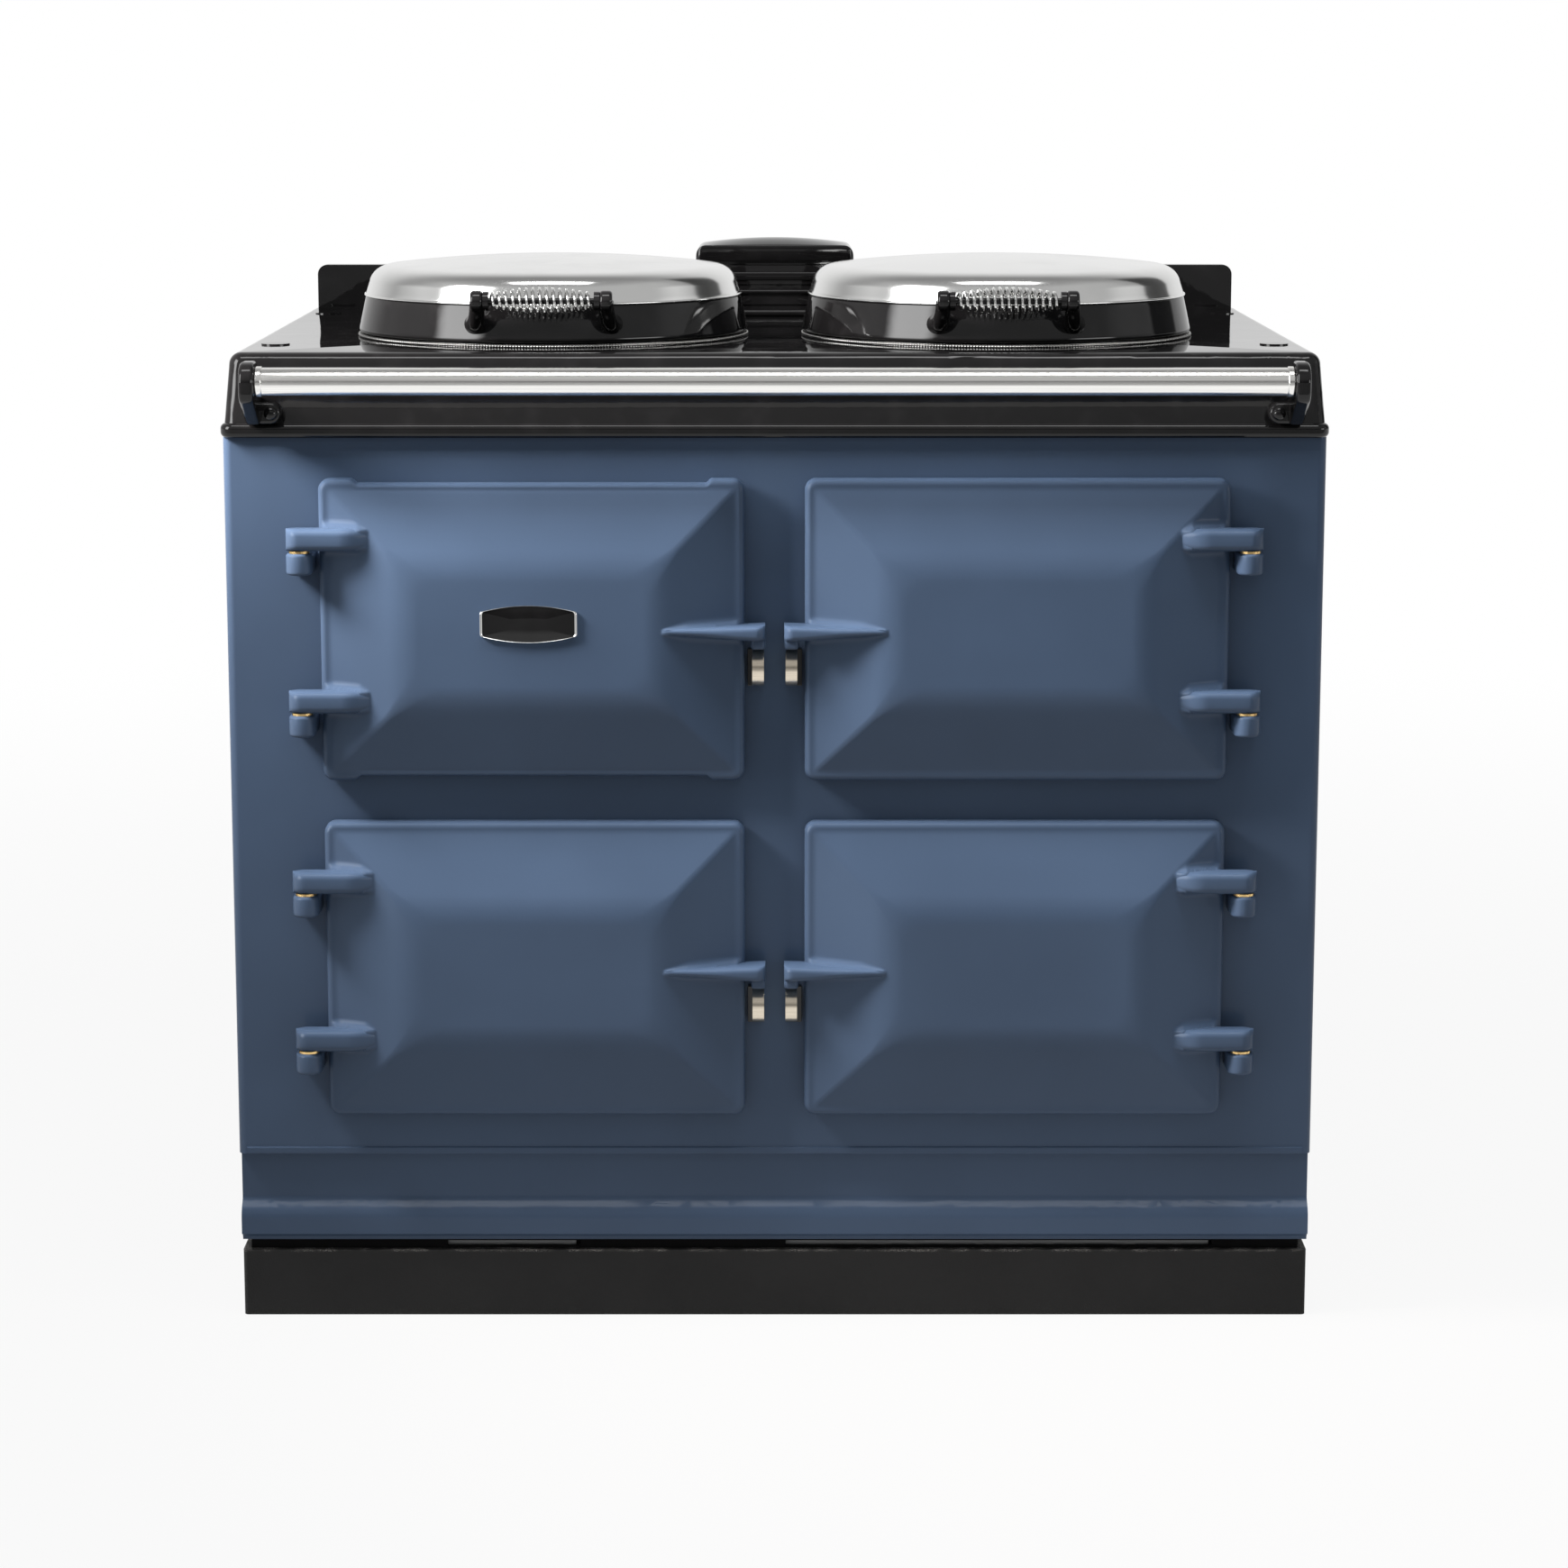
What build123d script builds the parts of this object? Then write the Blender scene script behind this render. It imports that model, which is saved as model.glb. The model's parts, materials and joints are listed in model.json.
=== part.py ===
from build123d import *
import math
import os

# Range cooker with heat-storing castings: millimetres, +Z up, front towards -Y,
# origin on the floor under the middle of the cooker.

# Overall sizes
cooker_width = 987.0
cooker_depth = 698.0
hob_height = 890.0

# Base: plinth, recessed tray band and skirting moulding
plinth_height = 62.0
plinth_inset = 2.0
plinth_wall = 18.0
plinth_corner = 4.0
tray_height = 9.0
tray_inset = 7.0
tray_rim = 12.0
tray_floor = 5.0
slot_height = 5.0
slot_depth = 6.0
slot_left = (-303.0, -180.0)
slot_right = (10.0, 405.0)
skirting_height = 83.0
skirting_recess = 9.0
skirting_side_inset = 1.5
skirting_cove_height = 14.0
skirting_bead_height = 20.0
skirting_bead_proud = 2.0
skirting_bottom_radius = 7.0

# Front plate and panels
plate_thickness = 14.0
plate_corner = 8.0
plate_bead_height = 7.0
plate_bead_proud = 1.5
panel_thickness = 6.0
panel_recess = 4.0
back_recess = 8.0

# Top plate
top_lip_height = 13.0
top_lip_over_front = 8.0
top_lip_over_side = 1.5
top_lip_radius = 5.0
top_height = 75.0
top_batter_front = 10.0
top_batter_side = 5.0
top_front_proud = 2.0
top_side_inset = 1.5
top_edge_radius = 11.0
top_corner_radius = 12.0
top_casting = 12.0
screw_cap_radius = 13.0
screw_cap_height = 1.0
screw_cap_from_side = 35.5
screw_cap_from_front = 111.0
screw_cap_from_back = 92.5

# Upstand and flue cowl behind the lids
upstand_height = 46.0
upstand_thickness = 16.0
upstand_side_inset = 17.5
upstand_from_back = 24.0
upstand_corner = 10.0
cowl_to_upstand = 40.5
cowl_width = 150.0
cowl_depth = 66.0
cowl_height = 51.0
cowl_steps = 4
cowl_step_depth = 2.0
cowl_step_height = 3.0
cowl_gap = 5.0
cowl_post_radius = 4.0
cowl_post_inset = 12.0
cap_overhang = 5.0
cap_height = 19.0
cap_corner = 13.0
cap_crown = 4.0

# Doors, given for the right-hand pair; the left pair is its mirror image
door_width = 380.0
door_spacing = 54.0
door_top_margin = 35.5
door_between = 38.0
door_bottom_margin = 41.5
door_gap = 2.0
door_rim = 16.0
door_corner = 10.0
door_edge_radius = 5.0
door_border = 5.0
slope_side = 76.5
slope_end = 77.0
plateau_rise = 23.0
plateau_blend = 40.0
pocket_depth = 14.0
notch_depth = 4.0
notch_length = 320.0
notch_radius = 3.5
liner_border_side = 30.0
liner_border_end = 29.5
liner_reach = 24.0
liner_wall = 2.0
liner_fit = 0.2
seal_width = 12.0
seal_clearance = 0.3
aperture_clearance = 8.0
seal_offset = 3.0

# Door hinges
hinge_offset = 16.0
hinge_proud = 28.0
hinge_radius = 11.8
arm_height = 20.0
arm_reach = 46.0
arm_back = 16.0
arm_taper = 28.0
arm_from_top = 52.5
arm_from_bottom = 74.5
knuckle_height = 19.5
washer_thickness = 2.0
washer_radius = 9.5
pin_radius = 5.0
pin_running_clearance = 0.06
pin_fixed_clearance = 0.02
pin_bore_cover = 3.0
pin_end_gap = 0.5
pin_lower_cover = 3.0

# Latch lugs and catches
lug_start = 117.0
lug_overhang = 18.5
lug_top = 7.0
lug_thickness = 13.0
lug_back = 8.0
lug_tip_radius = 8.0
web_width = 13.0
web_drop = 9.0
web_setback = 9.0
catch_drop = 2.0
catch_height = 34.0
catch_inner = 9.7
catch_outer = 24.5
catch_thickness = 9.0
strip_width = 10.5
strip_bulge = 15.0
plaque_width = 87.0
plaque_height = 34.0
plaque_bulge = 6.0
plaque_thickness = 3.0
plaque_offset_x = 2.0
plaque_offset_z = 10.0

# Ovens and control compartment behind the doors
oven_depth = 480.0
oven_wall = 6.0
ledge_width = 10.0
ledge_height = 4.0
ledge_levels = (-55.0, 25.0)
ledge_end_gap = 20.0
shelf_level = 0
shelf_bar = 5.0
shelf_bars = 15
shelf_clearance = 1.0
element_plate = 6.0
element_plate_size = (260.0, 300.0)
control_depth = 170.0
control_wall = 3.0
control_panel_setback = 70.0
control_panel_thickness = 3.0
control_panel_fit = 0.2
knob_count = 4
knob_spacing = 70.0
knob_radius = 19.0
knob_depth = 17.0
knob_skirt = 4.0
knob_pointer = 5.0
knob_clearance = 0.4
spindle_radius = 3.0
spindle_reach = 16.0
insulation_gap = 1.0

# Hand rail
rail_diameter = 25.0
rail_wall = 1.5
rail_proud = 50.0
rail_drop = 21.0
rail_from_side = 37.5
cheek_thickness = 13.0
cheek_radius = 17.5
spigot_length = 15.0
spigot_clearance = 0.2
foot_width = 30.0
foot_height = 20.0
foot_depth = 22.0

# Lids and hotplates
lid_x = 210.0
lid_from_front = 245.0
lid_base_radius = 185.0
lid_base_top_radius = 177.5
lid_base_height = 34.5
lid_base_inner = 165.0
lid_clearance = 0.3
lid_lip = 1.0
dome_slope = 4.5
dome_side = 13.0
dome_shoulder = 18.0
dome_shoulder_height = 15.5
dome_bend_in = 0.24
dome_bend_up = 0.66
dome_crown = 9.0
dome_thickness = 2.5
lid_liner_gap = 3.0
lid_liner_height = 18.0
lid_liner_fit = 0.2
rim_height = 3.0
rim_outer = 183.0
rim_fit = 0.3
hotplate_radius = 166.0
hotplate_depth = 42.0
hotplate_drop = 0.6
hotplate_flange = 19.0
hotplate_flange_depth = 10.0
hole_clearance = 6.0
ring_inner = 95.0
ring_outer = 125.0
ring_height = 8.0

# Lid handles with barrel-shaped coil grips
grip_proud = 20.0
grip_height = 40.0
post_spacing = 105.0
post_width = 11.5
post_radius = 9.5
post_root = 7.0
rod_radius = 2.8
collar_length = 5.0
collar_radius = 8.6
wire_radius = 1.2
coil_turns = 15
coil_end_radius = 6.9
coil_middle_radius = 11.8

# Lid hinges
lid_hinge_back = 207.0
lid_hinge_height = 25.0
lid_knuckle_radius = 11.0
lid_knuckle_width = 40.0
lid_lug_width = 28.0
lid_hinge_gap = 0.3
lid_bracket_depth = 26.0

# Mains inlet in the back panel
gland_from_side = 143.5
gland_z = 180.0
gland_radius = 16.0
gland_bore = 7.0
gland_neck_radius = 12.0
gland_neck = 12.0
gland_fit = 0.1
lead_room = 60.0

# Places worked out from the sizes
face_y = -cooker_depth / 2 + cheek_radius + rail_proud
plate_back_y = face_y + plate_thickness
back_y = cooker_depth / 2
back_panel_y = back_y - back_recess
half_width = cooker_width / 2
tray_z = plinth_height + tray_height
plate_z = tray_z + skirting_height
lip_z = hob_height - top_height
door_height = (lip_z - plate_z - door_top_margin - door_between - door_bottom_margin) / 2
door_upper_z = lip_z - door_top_margin - door_height / 2
door_lower_z = plate_z + door_bottom_margin + door_height / 2
door_x = (door_spacing + door_width) / 2
door_edge_x = door_x + door_width / 2
door_back_y = face_y - door_gap
rim_front_y = door_back_y - door_rim
plateau_y = rim_front_y - plateau_rise
plateau_width = door_width - 2 * slope_side
plateau_height = door_height - 2 * slope_end
liner_width = door_width - 2 * liner_border_side
liner_height = door_height - 2 * liner_border_end
arm_upper = door_height / 2 - arm_from_top
arm_lower = arm_from_bottom - door_height / 2
hinge_x = door_edge_x + hinge_offset
hinge_y = face_y - hinge_proud
lug_tip_x = door_spacing / 2 - lug_overhang
aperture_width = liner_width + 2 * aperture_clearance
aperture_height = liner_height + 2 * aperture_clearance
panel_x = half_width - panel_recess
rail_half_length = half_width - rail_from_side
gland_x = half_width - gland_from_side
rail_y = face_y - rail_proud
rail_z = hob_height - rail_drop
lid_y = face_y + lid_from_front
rim_top_z = hob_height + rim_height
lid_z = rim_top_z + lid_clearance
dome_z = lid_z + lid_base_height
grip_y = lid_y - lid_base_top_radius - grip_proud
grip_z = lid_z + grip_height
lid_hinge_y = lid_y + lid_hinge_back
lid_hinge_z = hob_height + lid_hinge_height
hob_underside = hob_height - top_casting
ring_z = hob_height + rim_height - hotplate_drop - hotplate_depth
casing_top = lip_z - insulation_gap

nodes = {}


def block(x, y, z):
    """A box between the low and high value given for each axis."""
    size = (x[1] - x[0], y[1] - y[0], z[1] - z[0])
    centre = (sum(x) / 2, sum(y) / 2, sum(z) / 2)
    return Pos(*centre) * Box(*size)


def upright(x, y, z, radius):
    """A cylinder along Z between the two heights in z."""
    return Pos(x, y, sum(z) / 2) * Cylinder(radius, z[1] - z[0])


def along_x(x, y, z, radius):
    """A cylinder along X between the two values in x."""
    return Pos(sum(x) / 2, y, z) * Rot(0, 90, 0) * Cylinder(radius, x[1] - x[0])


def along_y(x, y, z, radius):
    """A cylinder along Y between the two values in y."""
    return Pos(x, sum(y) / 2, z) * Rot(90, 0, 0) * Cylinder(radius, y[1] - y[0])


def plan(points, z):
    """An upright prism on a plan outline of (x, y) points, between two heights."""
    outline = make_face(Polyline(*points, close=True))
    return Pos(0, 0, z[0]) * extrude(outline, z[1] - z[0])


def side_on(outline, x):
    """A prism along X of a face drawn with y across and z up, between two values of x."""
    return Plane(origin=(x[0], 0, 0), x_dir=(0, 1, 0), z_dir=(1, 0, 0)) * extrude(outline, x[1] - x[0])


def turned(outline, x, y):
    """A solid of revolution about the upright line at x, y, of a face with radius across and z up."""
    face = Plane(origin=(0, 0, 0), x_dir=(1, 0, 0), z_dir=(0, -1, 0)) * outline
    return Pos(x, y, 0) * revolve(face, Axis.Z)


def other_side(solid):
    """The mirror image on the other side of the cooker."""
    return mirror(solid, about=Plane.YZ)


def both(solid):
    """The solid and its mirror image."""
    return [solid, other_side(solid)]


# Base: plinth of four boards, tray with a recessed band, skirting moulding
def make_base():
    plinth_x = half_width - plinth_inset
    inside_x = plinth_x - plinth_wall
    inside_y = (face_y + plinth_wall, back_panel_y - plinth_wall)
    board_z = (0, plinth_height)
    front = block((-plinth_x, plinth_x), (face_y, inside_y[0]), board_z)
    front = fillet(front.edges().filter_by(Axis.Z).group_by(Axis.Y)[0], plinth_corner)
    back = block((-plinth_x, plinth_x), (inside_y[1], back_panel_y), board_z)
    nodes["plinth"] = [front, back] + both(block((inside_x, plinth_x), inside_y, board_z))

    tray_x = plinth_x - tray_inset
    tray_y = (face_y + tray_inset, back_panel_y)
    tray = block((-tray_x, tray_x), tray_y, (plinth_height, tray_z))
    hollow_y = (tray_y[0] + tray_rim, tray_y[1] - tray_rim)
    hollow_x = tray_x - tray_rim
    tray -= block((-hollow_x, hollow_x), hollow_y, (plinth_height, tray_z - tray_floor))
    slot_z = plinth_height + tray_height / 2
    for slot in (slot_left, slot_right):
        slot_y = (tray_y[0], tray_y[0] + slot_depth)
        tray -= block(slot, slot_y, (slot_z - slot_height / 2, slot_z + slot_height / 2))
    nodes["base_tray"] = tray
    make_skirting()


def make_skirting():
    """Front moulding of one section, a cove over a bead, with flat returns along the sides."""
    recessed = face_y + skirting_recess
    proud = face_y - skirting_bead_proud
    bead_top = tray_z + skirting_bead_height + skirting_cove_height / 2
    bead_low = tray_z + skirting_bottom_radius
    cove_top = bead_top + skirting_cove_height
    half_cove = (bead_top + cove_top) / 2
    with BuildSketch() as section:
        with BuildLine():
            Line((plate_back_y, tray_z), (plate_back_y, plate_z))
            Line((plate_back_y, plate_z), (recessed, plate_z))
            Line((recessed, plate_z), (recessed, cove_top))
            low = Line((proud, bead_top - skirting_bottom_radius), (proud, bead_low))
            Bezier((recessed, cove_top), (recessed, half_cove), (proud, half_cove), low @ 0)
            foot = (proud + skirting_bottom_radius, tray_z)
            RadiusArc(low @ 1, foot, skirting_bottom_radius)
            Line(foot, (plate_back_y, tray_z))
        make_face()
    end_x = half_width - skirting_side_inset
    front = side_on(section.sketch, (-end_x, end_x))
    returns = block((panel_x, end_x), (plate_back_y, back_panel_y), (tray_z, plate_z))
    nodes["base_skirting"] = front + returns + other_side(returns)


# Carcass: front plate, side panels, back panel
def make_carcass():
    plate = block((-half_width, half_width), (face_y, plate_back_y), (plate_z, lip_z))
    plate = fillet(plate.edges().filter_by(Axis.Z).group_by(Axis.Y)[0], plate_corner)
    bead_y = (face_y - plate_bead_proud, face_y + plate_corner)
    bead_x = half_width - plate_corner
    bead = block((-bead_x, bead_x), bead_y, (plate_z, plate_z + plate_bead_height))
    plate += fillet(bead.edges().filter_by(Axis.X).group_by(Axis.Y)[0], plate_bead_proud)
    for x in (-door_x, door_x):
        for z in (door_lower_z, door_upper_z):
            plate -= aperture(x, z, (face_y, plate_back_y))
    nodes["front_plate"] = plate

    side = block((panel_x - panel_thickness, panel_x), (plate_back_y, back_panel_y), (tray_z, lip_z))
    nodes["side_panel_left"] = other_side(side)
    nodes["side_panel_right"] = side

    inside_x = panel_x - panel_thickness
    back = block((-inside_x, inside_x), (back_panel_y - panel_thickness, back_panel_y), (tray_z, lip_z))
    back -= along_y(gland_x, (0, back_y), gland_z, gland_neck_radius + gland_fit)
    nodes["back_panel"] = back

    flange = along_y(gland_x, (back_panel_y, back_y), gland_z, gland_radius)
    neck_y = (back_panel_y - panel_thickness - gland_neck, back_panel_y)
    gland = flange + along_y(gland_x, neck_y, gland_z, gland_neck_radius)
    nodes["cable_gland"] = gland - along_y(gland_x, (neck_y[0], back_y), gland_z, gland_bore)


def aperture(x, z, y):
    """The door opening, taken right through between two depths."""
    half_w = aperture_width / 2
    half_h = aperture_height / 2
    return block((x - half_w, x + half_w), y, (z - half_h, z + half_h))


# Top plate: casting with a battered fascia, a lip and two hotplate holes
def make_top():
    foot_z = lip_z + top_lip_height
    foot_x = half_width - top_side_inset
    foot_y = (face_y - top_front_proud, back_y)
    head_x = foot_x - top_batter_side
    head_y = (foot_y[0] + top_batter_front, back_y)
    foot = Pos(0, sum(foot_y) / 2, foot_z) * Rectangle(2 * foot_x, foot_y[1] - foot_y[0])
    head = Pos(0, sum(head_y) / 2, hob_height) * Rectangle(2 * head_x, head_y[1] - head_y[0])
    crown = loft([foot, head], ruled=True)
    leaning = crown.edges().filter_by(lambda e: abs(e.tangent_at(0.5).Z) > 0.5)
    crown = fillet(leaning.group_by(Axis.Y)[0], top_corner_radius)
    rear = back_y - top_edge_radius
    upper = crown.edges().group_by(Axis.Z)[-1].filter_by(lambda e: e.center().Y < rear)
    crown = fillet(upper, top_edge_radius)

    lip_x = half_width + top_lip_over_side
    lip_y = (face_y - top_lip_over_front, back_y)
    lip = block((-lip_x, lip_x), lip_y, (lip_z, foot_z))
    lip = fillet(lip.edges().filter_by(Axis.Z).group_by(Axis.Y)[0], top_corner_radius)
    rim = lip.edges().filter_by(lambda e: abs(e.tangent_at(0.5).Z) < 0.5 and e.center().Y < rear)
    lip = fillet(rim, top_lip_radius)

    hollow_x = head_x - top_casting
    hollow_y = (head_y[0] + top_casting, back_y - top_casting)
    plate = crown + lip - block((-hollow_x, hollow_x), hollow_y, (lip_z, hob_underside))
    hole = upright(lid_x, lid_y, (hob_underside, hob_height), hotplate_radius + hole_clearance)
    for solid in both(hole):
        plate -= solid
    nodes["top_plate"] = plate

    caps = []
    cap_x = half_width - screw_cap_from_side
    cap_z = (hob_height, hob_height + screw_cap_height)
    for cap_y in (face_y + screw_cap_from_front, back_y - screw_cap_from_back):
        caps += both(upright(cap_x, cap_y, cap_z, screw_cap_radius))
    nodes["screw_caps"] = caps


# Rear upstand and the flue cowl that stands in front of it
def make_rear():
    rear_y = (back_y - upstand_from_back, back_y - upstand_from_back + upstand_thickness)
    rear_z = (hob_height, hob_height + upstand_height)
    rear_x = half_width - upstand_side_inset
    upstand = block((-rear_x, rear_x), rear_y, rear_z)
    corners = upstand.edges().filter_by(Axis.Y).group_by(Axis.Z)[-1]
    nodes["rear_upstand"] = fillet(corners, upstand_corner)

    cowl_y = (rear_y[0] - cowl_to_upstand - cowl_depth, rear_y[0] - cowl_to_upstand)
    cowl_z = (hob_height, hob_height + cowl_height)
    body = block((-cowl_width / 2, cowl_width / 2), cowl_y, cowl_z)
    for step in range(cowl_steps):
        z = hob_height + cowl_height * (step + 1) / (cowl_steps + 1)
        groove_z = (z - cowl_step_height / 2, z + cowl_step_height / 2)
        body -= block((-cowl_width / 2, cowl_width / 2), (cowl_y[0], cowl_y[0] + cowl_step_depth), groove_z)
    post_z = (cowl_z[1], cowl_z[1] + cowl_gap)
    post_x = cowl_width / 2 - cowl_post_inset
    for y in (cowl_y[0] + cowl_post_inset, cowl_y[1] - cowl_post_inset):
        for solid in both(upright(post_x, y, post_z, cowl_post_radius)):
            body += solid
    nodes["flue_cowl"] = body

    cap_x = cowl_width / 2 + cap_overhang
    cap_y = (cowl_y[0] - cap_overhang, cowl_y[1] + cap_overhang)
    edge_z = post_z[1] + cap_height - cap_crown
    with BuildSketch() as section:
        with BuildLine():
            Line((-cap_x, post_z[1]), (cap_x, post_z[1]))
            Line((cap_x, post_z[1]), (cap_x, edge_z - cap_corner))
            RadiusArc((cap_x, edge_z - cap_corner), (cap_x - cap_corner, edge_z), -cap_corner)
            crest = (0, edge_z + cap_crown)
            ThreePointArc((cap_x - cap_corner, edge_z), crest, (cap_corner - cap_x, edge_z))
            RadiusArc((cap_corner - cap_x, edge_z), (-cap_x, edge_z - cap_corner), -cap_corner)
            Line((-cap_x, edge_z - cap_corner), (-cap_x, post_z[1]))
        make_face()
    face = Plane(origin=(0, cap_y[1], 0), x_dir=(1, 0, 0), z_dir=(0, -1, 0)) * section.sketch
    nodes["flue_cap"] = extrude(face, cap_y[1] - cap_y[0], dir=(0, -1, 0))


# Doors: enamelled casting with hinge arms and a latch lug, steel liner, seal
def door_casting(z, notched):
    """The right-hand casting with its middle at height z: a rim plate under a flat-topped pillow."""
    rim = block((door_x - door_width / 2, door_edge_x), (rim_front_y, door_back_y),
                (z - door_height / 2, z + door_height / 2))
    rim = fillet(rim.edges().filter_by(Axis.Y), door_corner)
    rim = fillet(rim.faces().sort_by(Axis.Y)[0].edges(), door_edge_radius)
    if notched:
        for edge in (z - door_height / 2, z + door_height / 2):
            cut = block((door_x - notch_length / 2, door_x + notch_length / 2),
                        (rim_front_y, door_back_y), (edge - notch_depth, edge + notch_depth))
            rim -= fillet(cut.edges().filter_by(Axis.Y), notch_radius)
    sunk = rim_front_y + door_edge_radius
    pillow = loft([
        front_rectangle(z, sunk, door_width - 2 * door_border, door_height - 2 * door_border),
        front_rectangle(z, plateau_y, plateau_width, plateau_height),
    ], ruled=True)
    ridges = pillow.edges().filter_by(lambda e: e.center().Y < sunk - 1)
    pillow = fillet(ridges, plateau_blend)
    casting = rim + pillow
    for offset in (arm_upper, arm_lower):
        casting += hinge_arm(z + offset)
    casting += latch_lug(z)
    casting -= block((door_x - liner_width / 2, door_x + liner_width / 2),
                     (door_back_y - pocket_depth, door_back_y),
                     (z - liner_height / 2, z + liner_height / 2))
    for offset in (arm_upper, arm_lower):
        bore_z = (z + offset - arm_height / 2, z + offset + arm_height / 2 - pin_bore_cover)
        casting -= upright(hinge_x, hinge_y, bore_z, pin_radius + pin_running_clearance)
    return casting


def front_rectangle(z, y, width, height):
    """A rectangle facing forwards at depth y, about the door's middle."""
    return Plane(origin=(door_x, y, z), x_dir=(1, 0, 0), z_dir=(0, -1, 0)) * Rectangle(width, height)


def hinge_arm(z):
    """A bar round the hinge axis that tapers into the slope of the door."""
    heights = (z - arm_height / 2, z + arm_height / 2)
    front = hinge_y - hinge_radius
    outline = [
        (hinge_x, front),
        (door_edge_x - arm_reach + arm_taper, front),
        (door_edge_x - arm_reach, rim_front_y - plateau_rise / 3),
        (door_edge_x - arm_reach, door_back_y - arm_back),
        (door_edge_x, door_back_y - arm_back),
        (hinge_x, hinge_y + hinge_radius),
    ]
    return plan(outline, heights) + upright(hinge_x, hinge_y, heights, hinge_radius)


def latch_lug(z):
    """A fin from the plateau out past the door's inner edge, with a tab under its tip."""
    back = face_y - lug_back
    fin_z = (z + lug_top - lug_thickness, z + lug_top)
    outline = [(door_x - lug_start, plateau_y), (lug_tip_x, plateau_y), (lug_tip_x, back),
               (door_x - lug_start, back - door_rim / 2)]
    fin = plan(outline, fin_z)
    tip = fin.edges().filter_by(Axis.Z).sort_by(lambda e: e.center().X + e.center().Y)[0]
    fin = fillet(tip, lug_tip_radius)
    web_z = (fin_z[0] - web_drop, fin_z[0])
    web = block((lug_tip_x, lug_tip_x + web_width), (plateau_y + web_setback, back), web_z)
    return fin + web


def door_liner(z):
    """A steel pan, open towards the casting, that plugs the opening."""
    half_w = liner_width / 2 - liner_fit
    half_h = liner_height / 2 - liner_fit
    reach = (door_back_y - pocket_depth, face_y + liner_reach)
    pan = block((door_x - half_w, door_x + half_w), reach, (z - half_h, z + half_h))
    inner_w = half_w - liner_wall
    inner_h = half_h - liner_wall
    hollow_y = (reach[0], reach[1] - liner_wall)
    return pan - block((door_x - inner_w, door_x + inner_w), hollow_y, (z - inner_h, z + inner_h))


def door_seal(z):
    """A flat seal on the back of the casting, round the opening in the front plate."""
    half_w = aperture_width / 2 + seal_offset
    half_h = aperture_height / 2 + seal_offset
    reach = (door_back_y, face_y - seal_clearance)
    ring = block((door_x - half_w - seal_width, door_x + half_w + seal_width), reach,
                 (z - half_h - seal_width, z + half_h + seal_width))
    return ring - block((door_x - half_w, door_x + half_w), reach, (z - half_h, z + half_h))


def make_doors():
    for row, z in (("top", door_upper_z), ("bottom", door_lower_z)):
        for side in ("left", "right"):
            casting = door_casting(z, notched=(row, side) == ("top", "left"))
            pieces = {"shell": casting, "liner": door_liner(z), "seal": door_seal(z)}
            for kind, solid in pieces.items():
                nodes[f"door_{row}_{side}_{kind}"] = solid if side == "right" else other_side(solid)

    oval = Plane(
        origin=(-door_x - plaque_offset_x, plateau_y, door_upper_z + plaque_offset_z),
        x_dir=(1, 0, 0), z_dir=(0, -1, 0),
    )
    with BuildSketch() as outline:
        with BuildLine():
            end_h = plaque_height / 2 - plaque_bulge
            half_w = plaque_width / 2
            ThreePointArc((-half_w + plaque_bulge / 2, end_h), (0, plaque_height / 2),
                          (half_w - plaque_bulge / 2, end_h))
            ThreePointArc((half_w - plaque_bulge / 2, end_h), (half_w, 0),
                          (half_w - plaque_bulge / 2, -end_h))
            ThreePointArc((half_w - plaque_bulge / 2, -end_h), (0, -plaque_height / 2),
                          (-half_w + plaque_bulge / 2, -end_h))
            ThreePointArc((-half_w + plaque_bulge / 2, -end_h), (-half_w, 0),
                          (-half_w + plaque_bulge / 2, end_h))
        make_face()
    nodes["door_plaque"] = extrude(oval * outline.sketch, plaque_thickness, dir=(0, -1, 0))


# Hinge brackets, washers and pins; catches with their sprung strips
def make_hinges():
    brackets = []
    washers = []
    pins = []
    for door_z in (door_lower_z, door_upper_z):
        for offset in (arm_upper, arm_lower):
            arm_z = door_z + offset - arm_height / 2
            top = arm_z - washer_thickness
            heights = (top - knuckle_height, top)
            knuckle = upright(hinge_x, hinge_y, heights, hinge_radius)
            knuckle += block((hinge_x - hinge_radius, hinge_x + hinge_radius), (hinge_y, face_y), heights)
            pin_z = (heights[0] + pin_lower_cover, arm_z + arm_height - pin_bore_cover - pin_end_gap)
            knuckle -= upright(hinge_x, hinge_y, (pin_z[0], top), pin_radius + pin_fixed_clearance)
            washer = upright(hinge_x, hinge_y, (top, arm_z), washer_radius)
            washer -= upright(hinge_x, hinge_y, (top, arm_z), pin_radius + pin_running_clearance)
            brackets += both(knuckle)
            washers += both(washer)
            pins += both(upright(hinge_x, hinge_y, pin_z, pin_radius))
    for x in (-lid_x, lid_x):
        reach = lid_knuckle_width / 2 + lid_hinge_gap + lid_lug_width
        pins.append(along_x((x - reach, x + reach), lid_hinge_y, lid_hinge_z, pin_radius))
    nodes["hinge_brackets"] = brackets
    nodes["hinge_washers"] = washers
    nodes["hinge_pins"] = pins


def make_catches():
    bodies = []
    strips = []
    for door_z in (door_lower_z, door_upper_z):
        top = door_z + lug_top - lug_thickness - web_drop - catch_drop
        low = top - catch_height
        front = face_y - catch_thickness
        bodies += both(block((catch_inner, catch_outer), (front, face_y), (low, top)))
        with BuildSketch() as section:
            with BuildLine():
                bow = ThreePointArc((front, top), (front - strip_bulge, (low + top) / 2), (front, low))
                Line(bow @ 1, bow @ 0)
            make_face()
        strips += both(side_on(section.sketch, (catch_inner, catch_inner + strip_width)))
    nodes["door_catches"] = bodies
    nodes["catch_strips"] = strips


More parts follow.
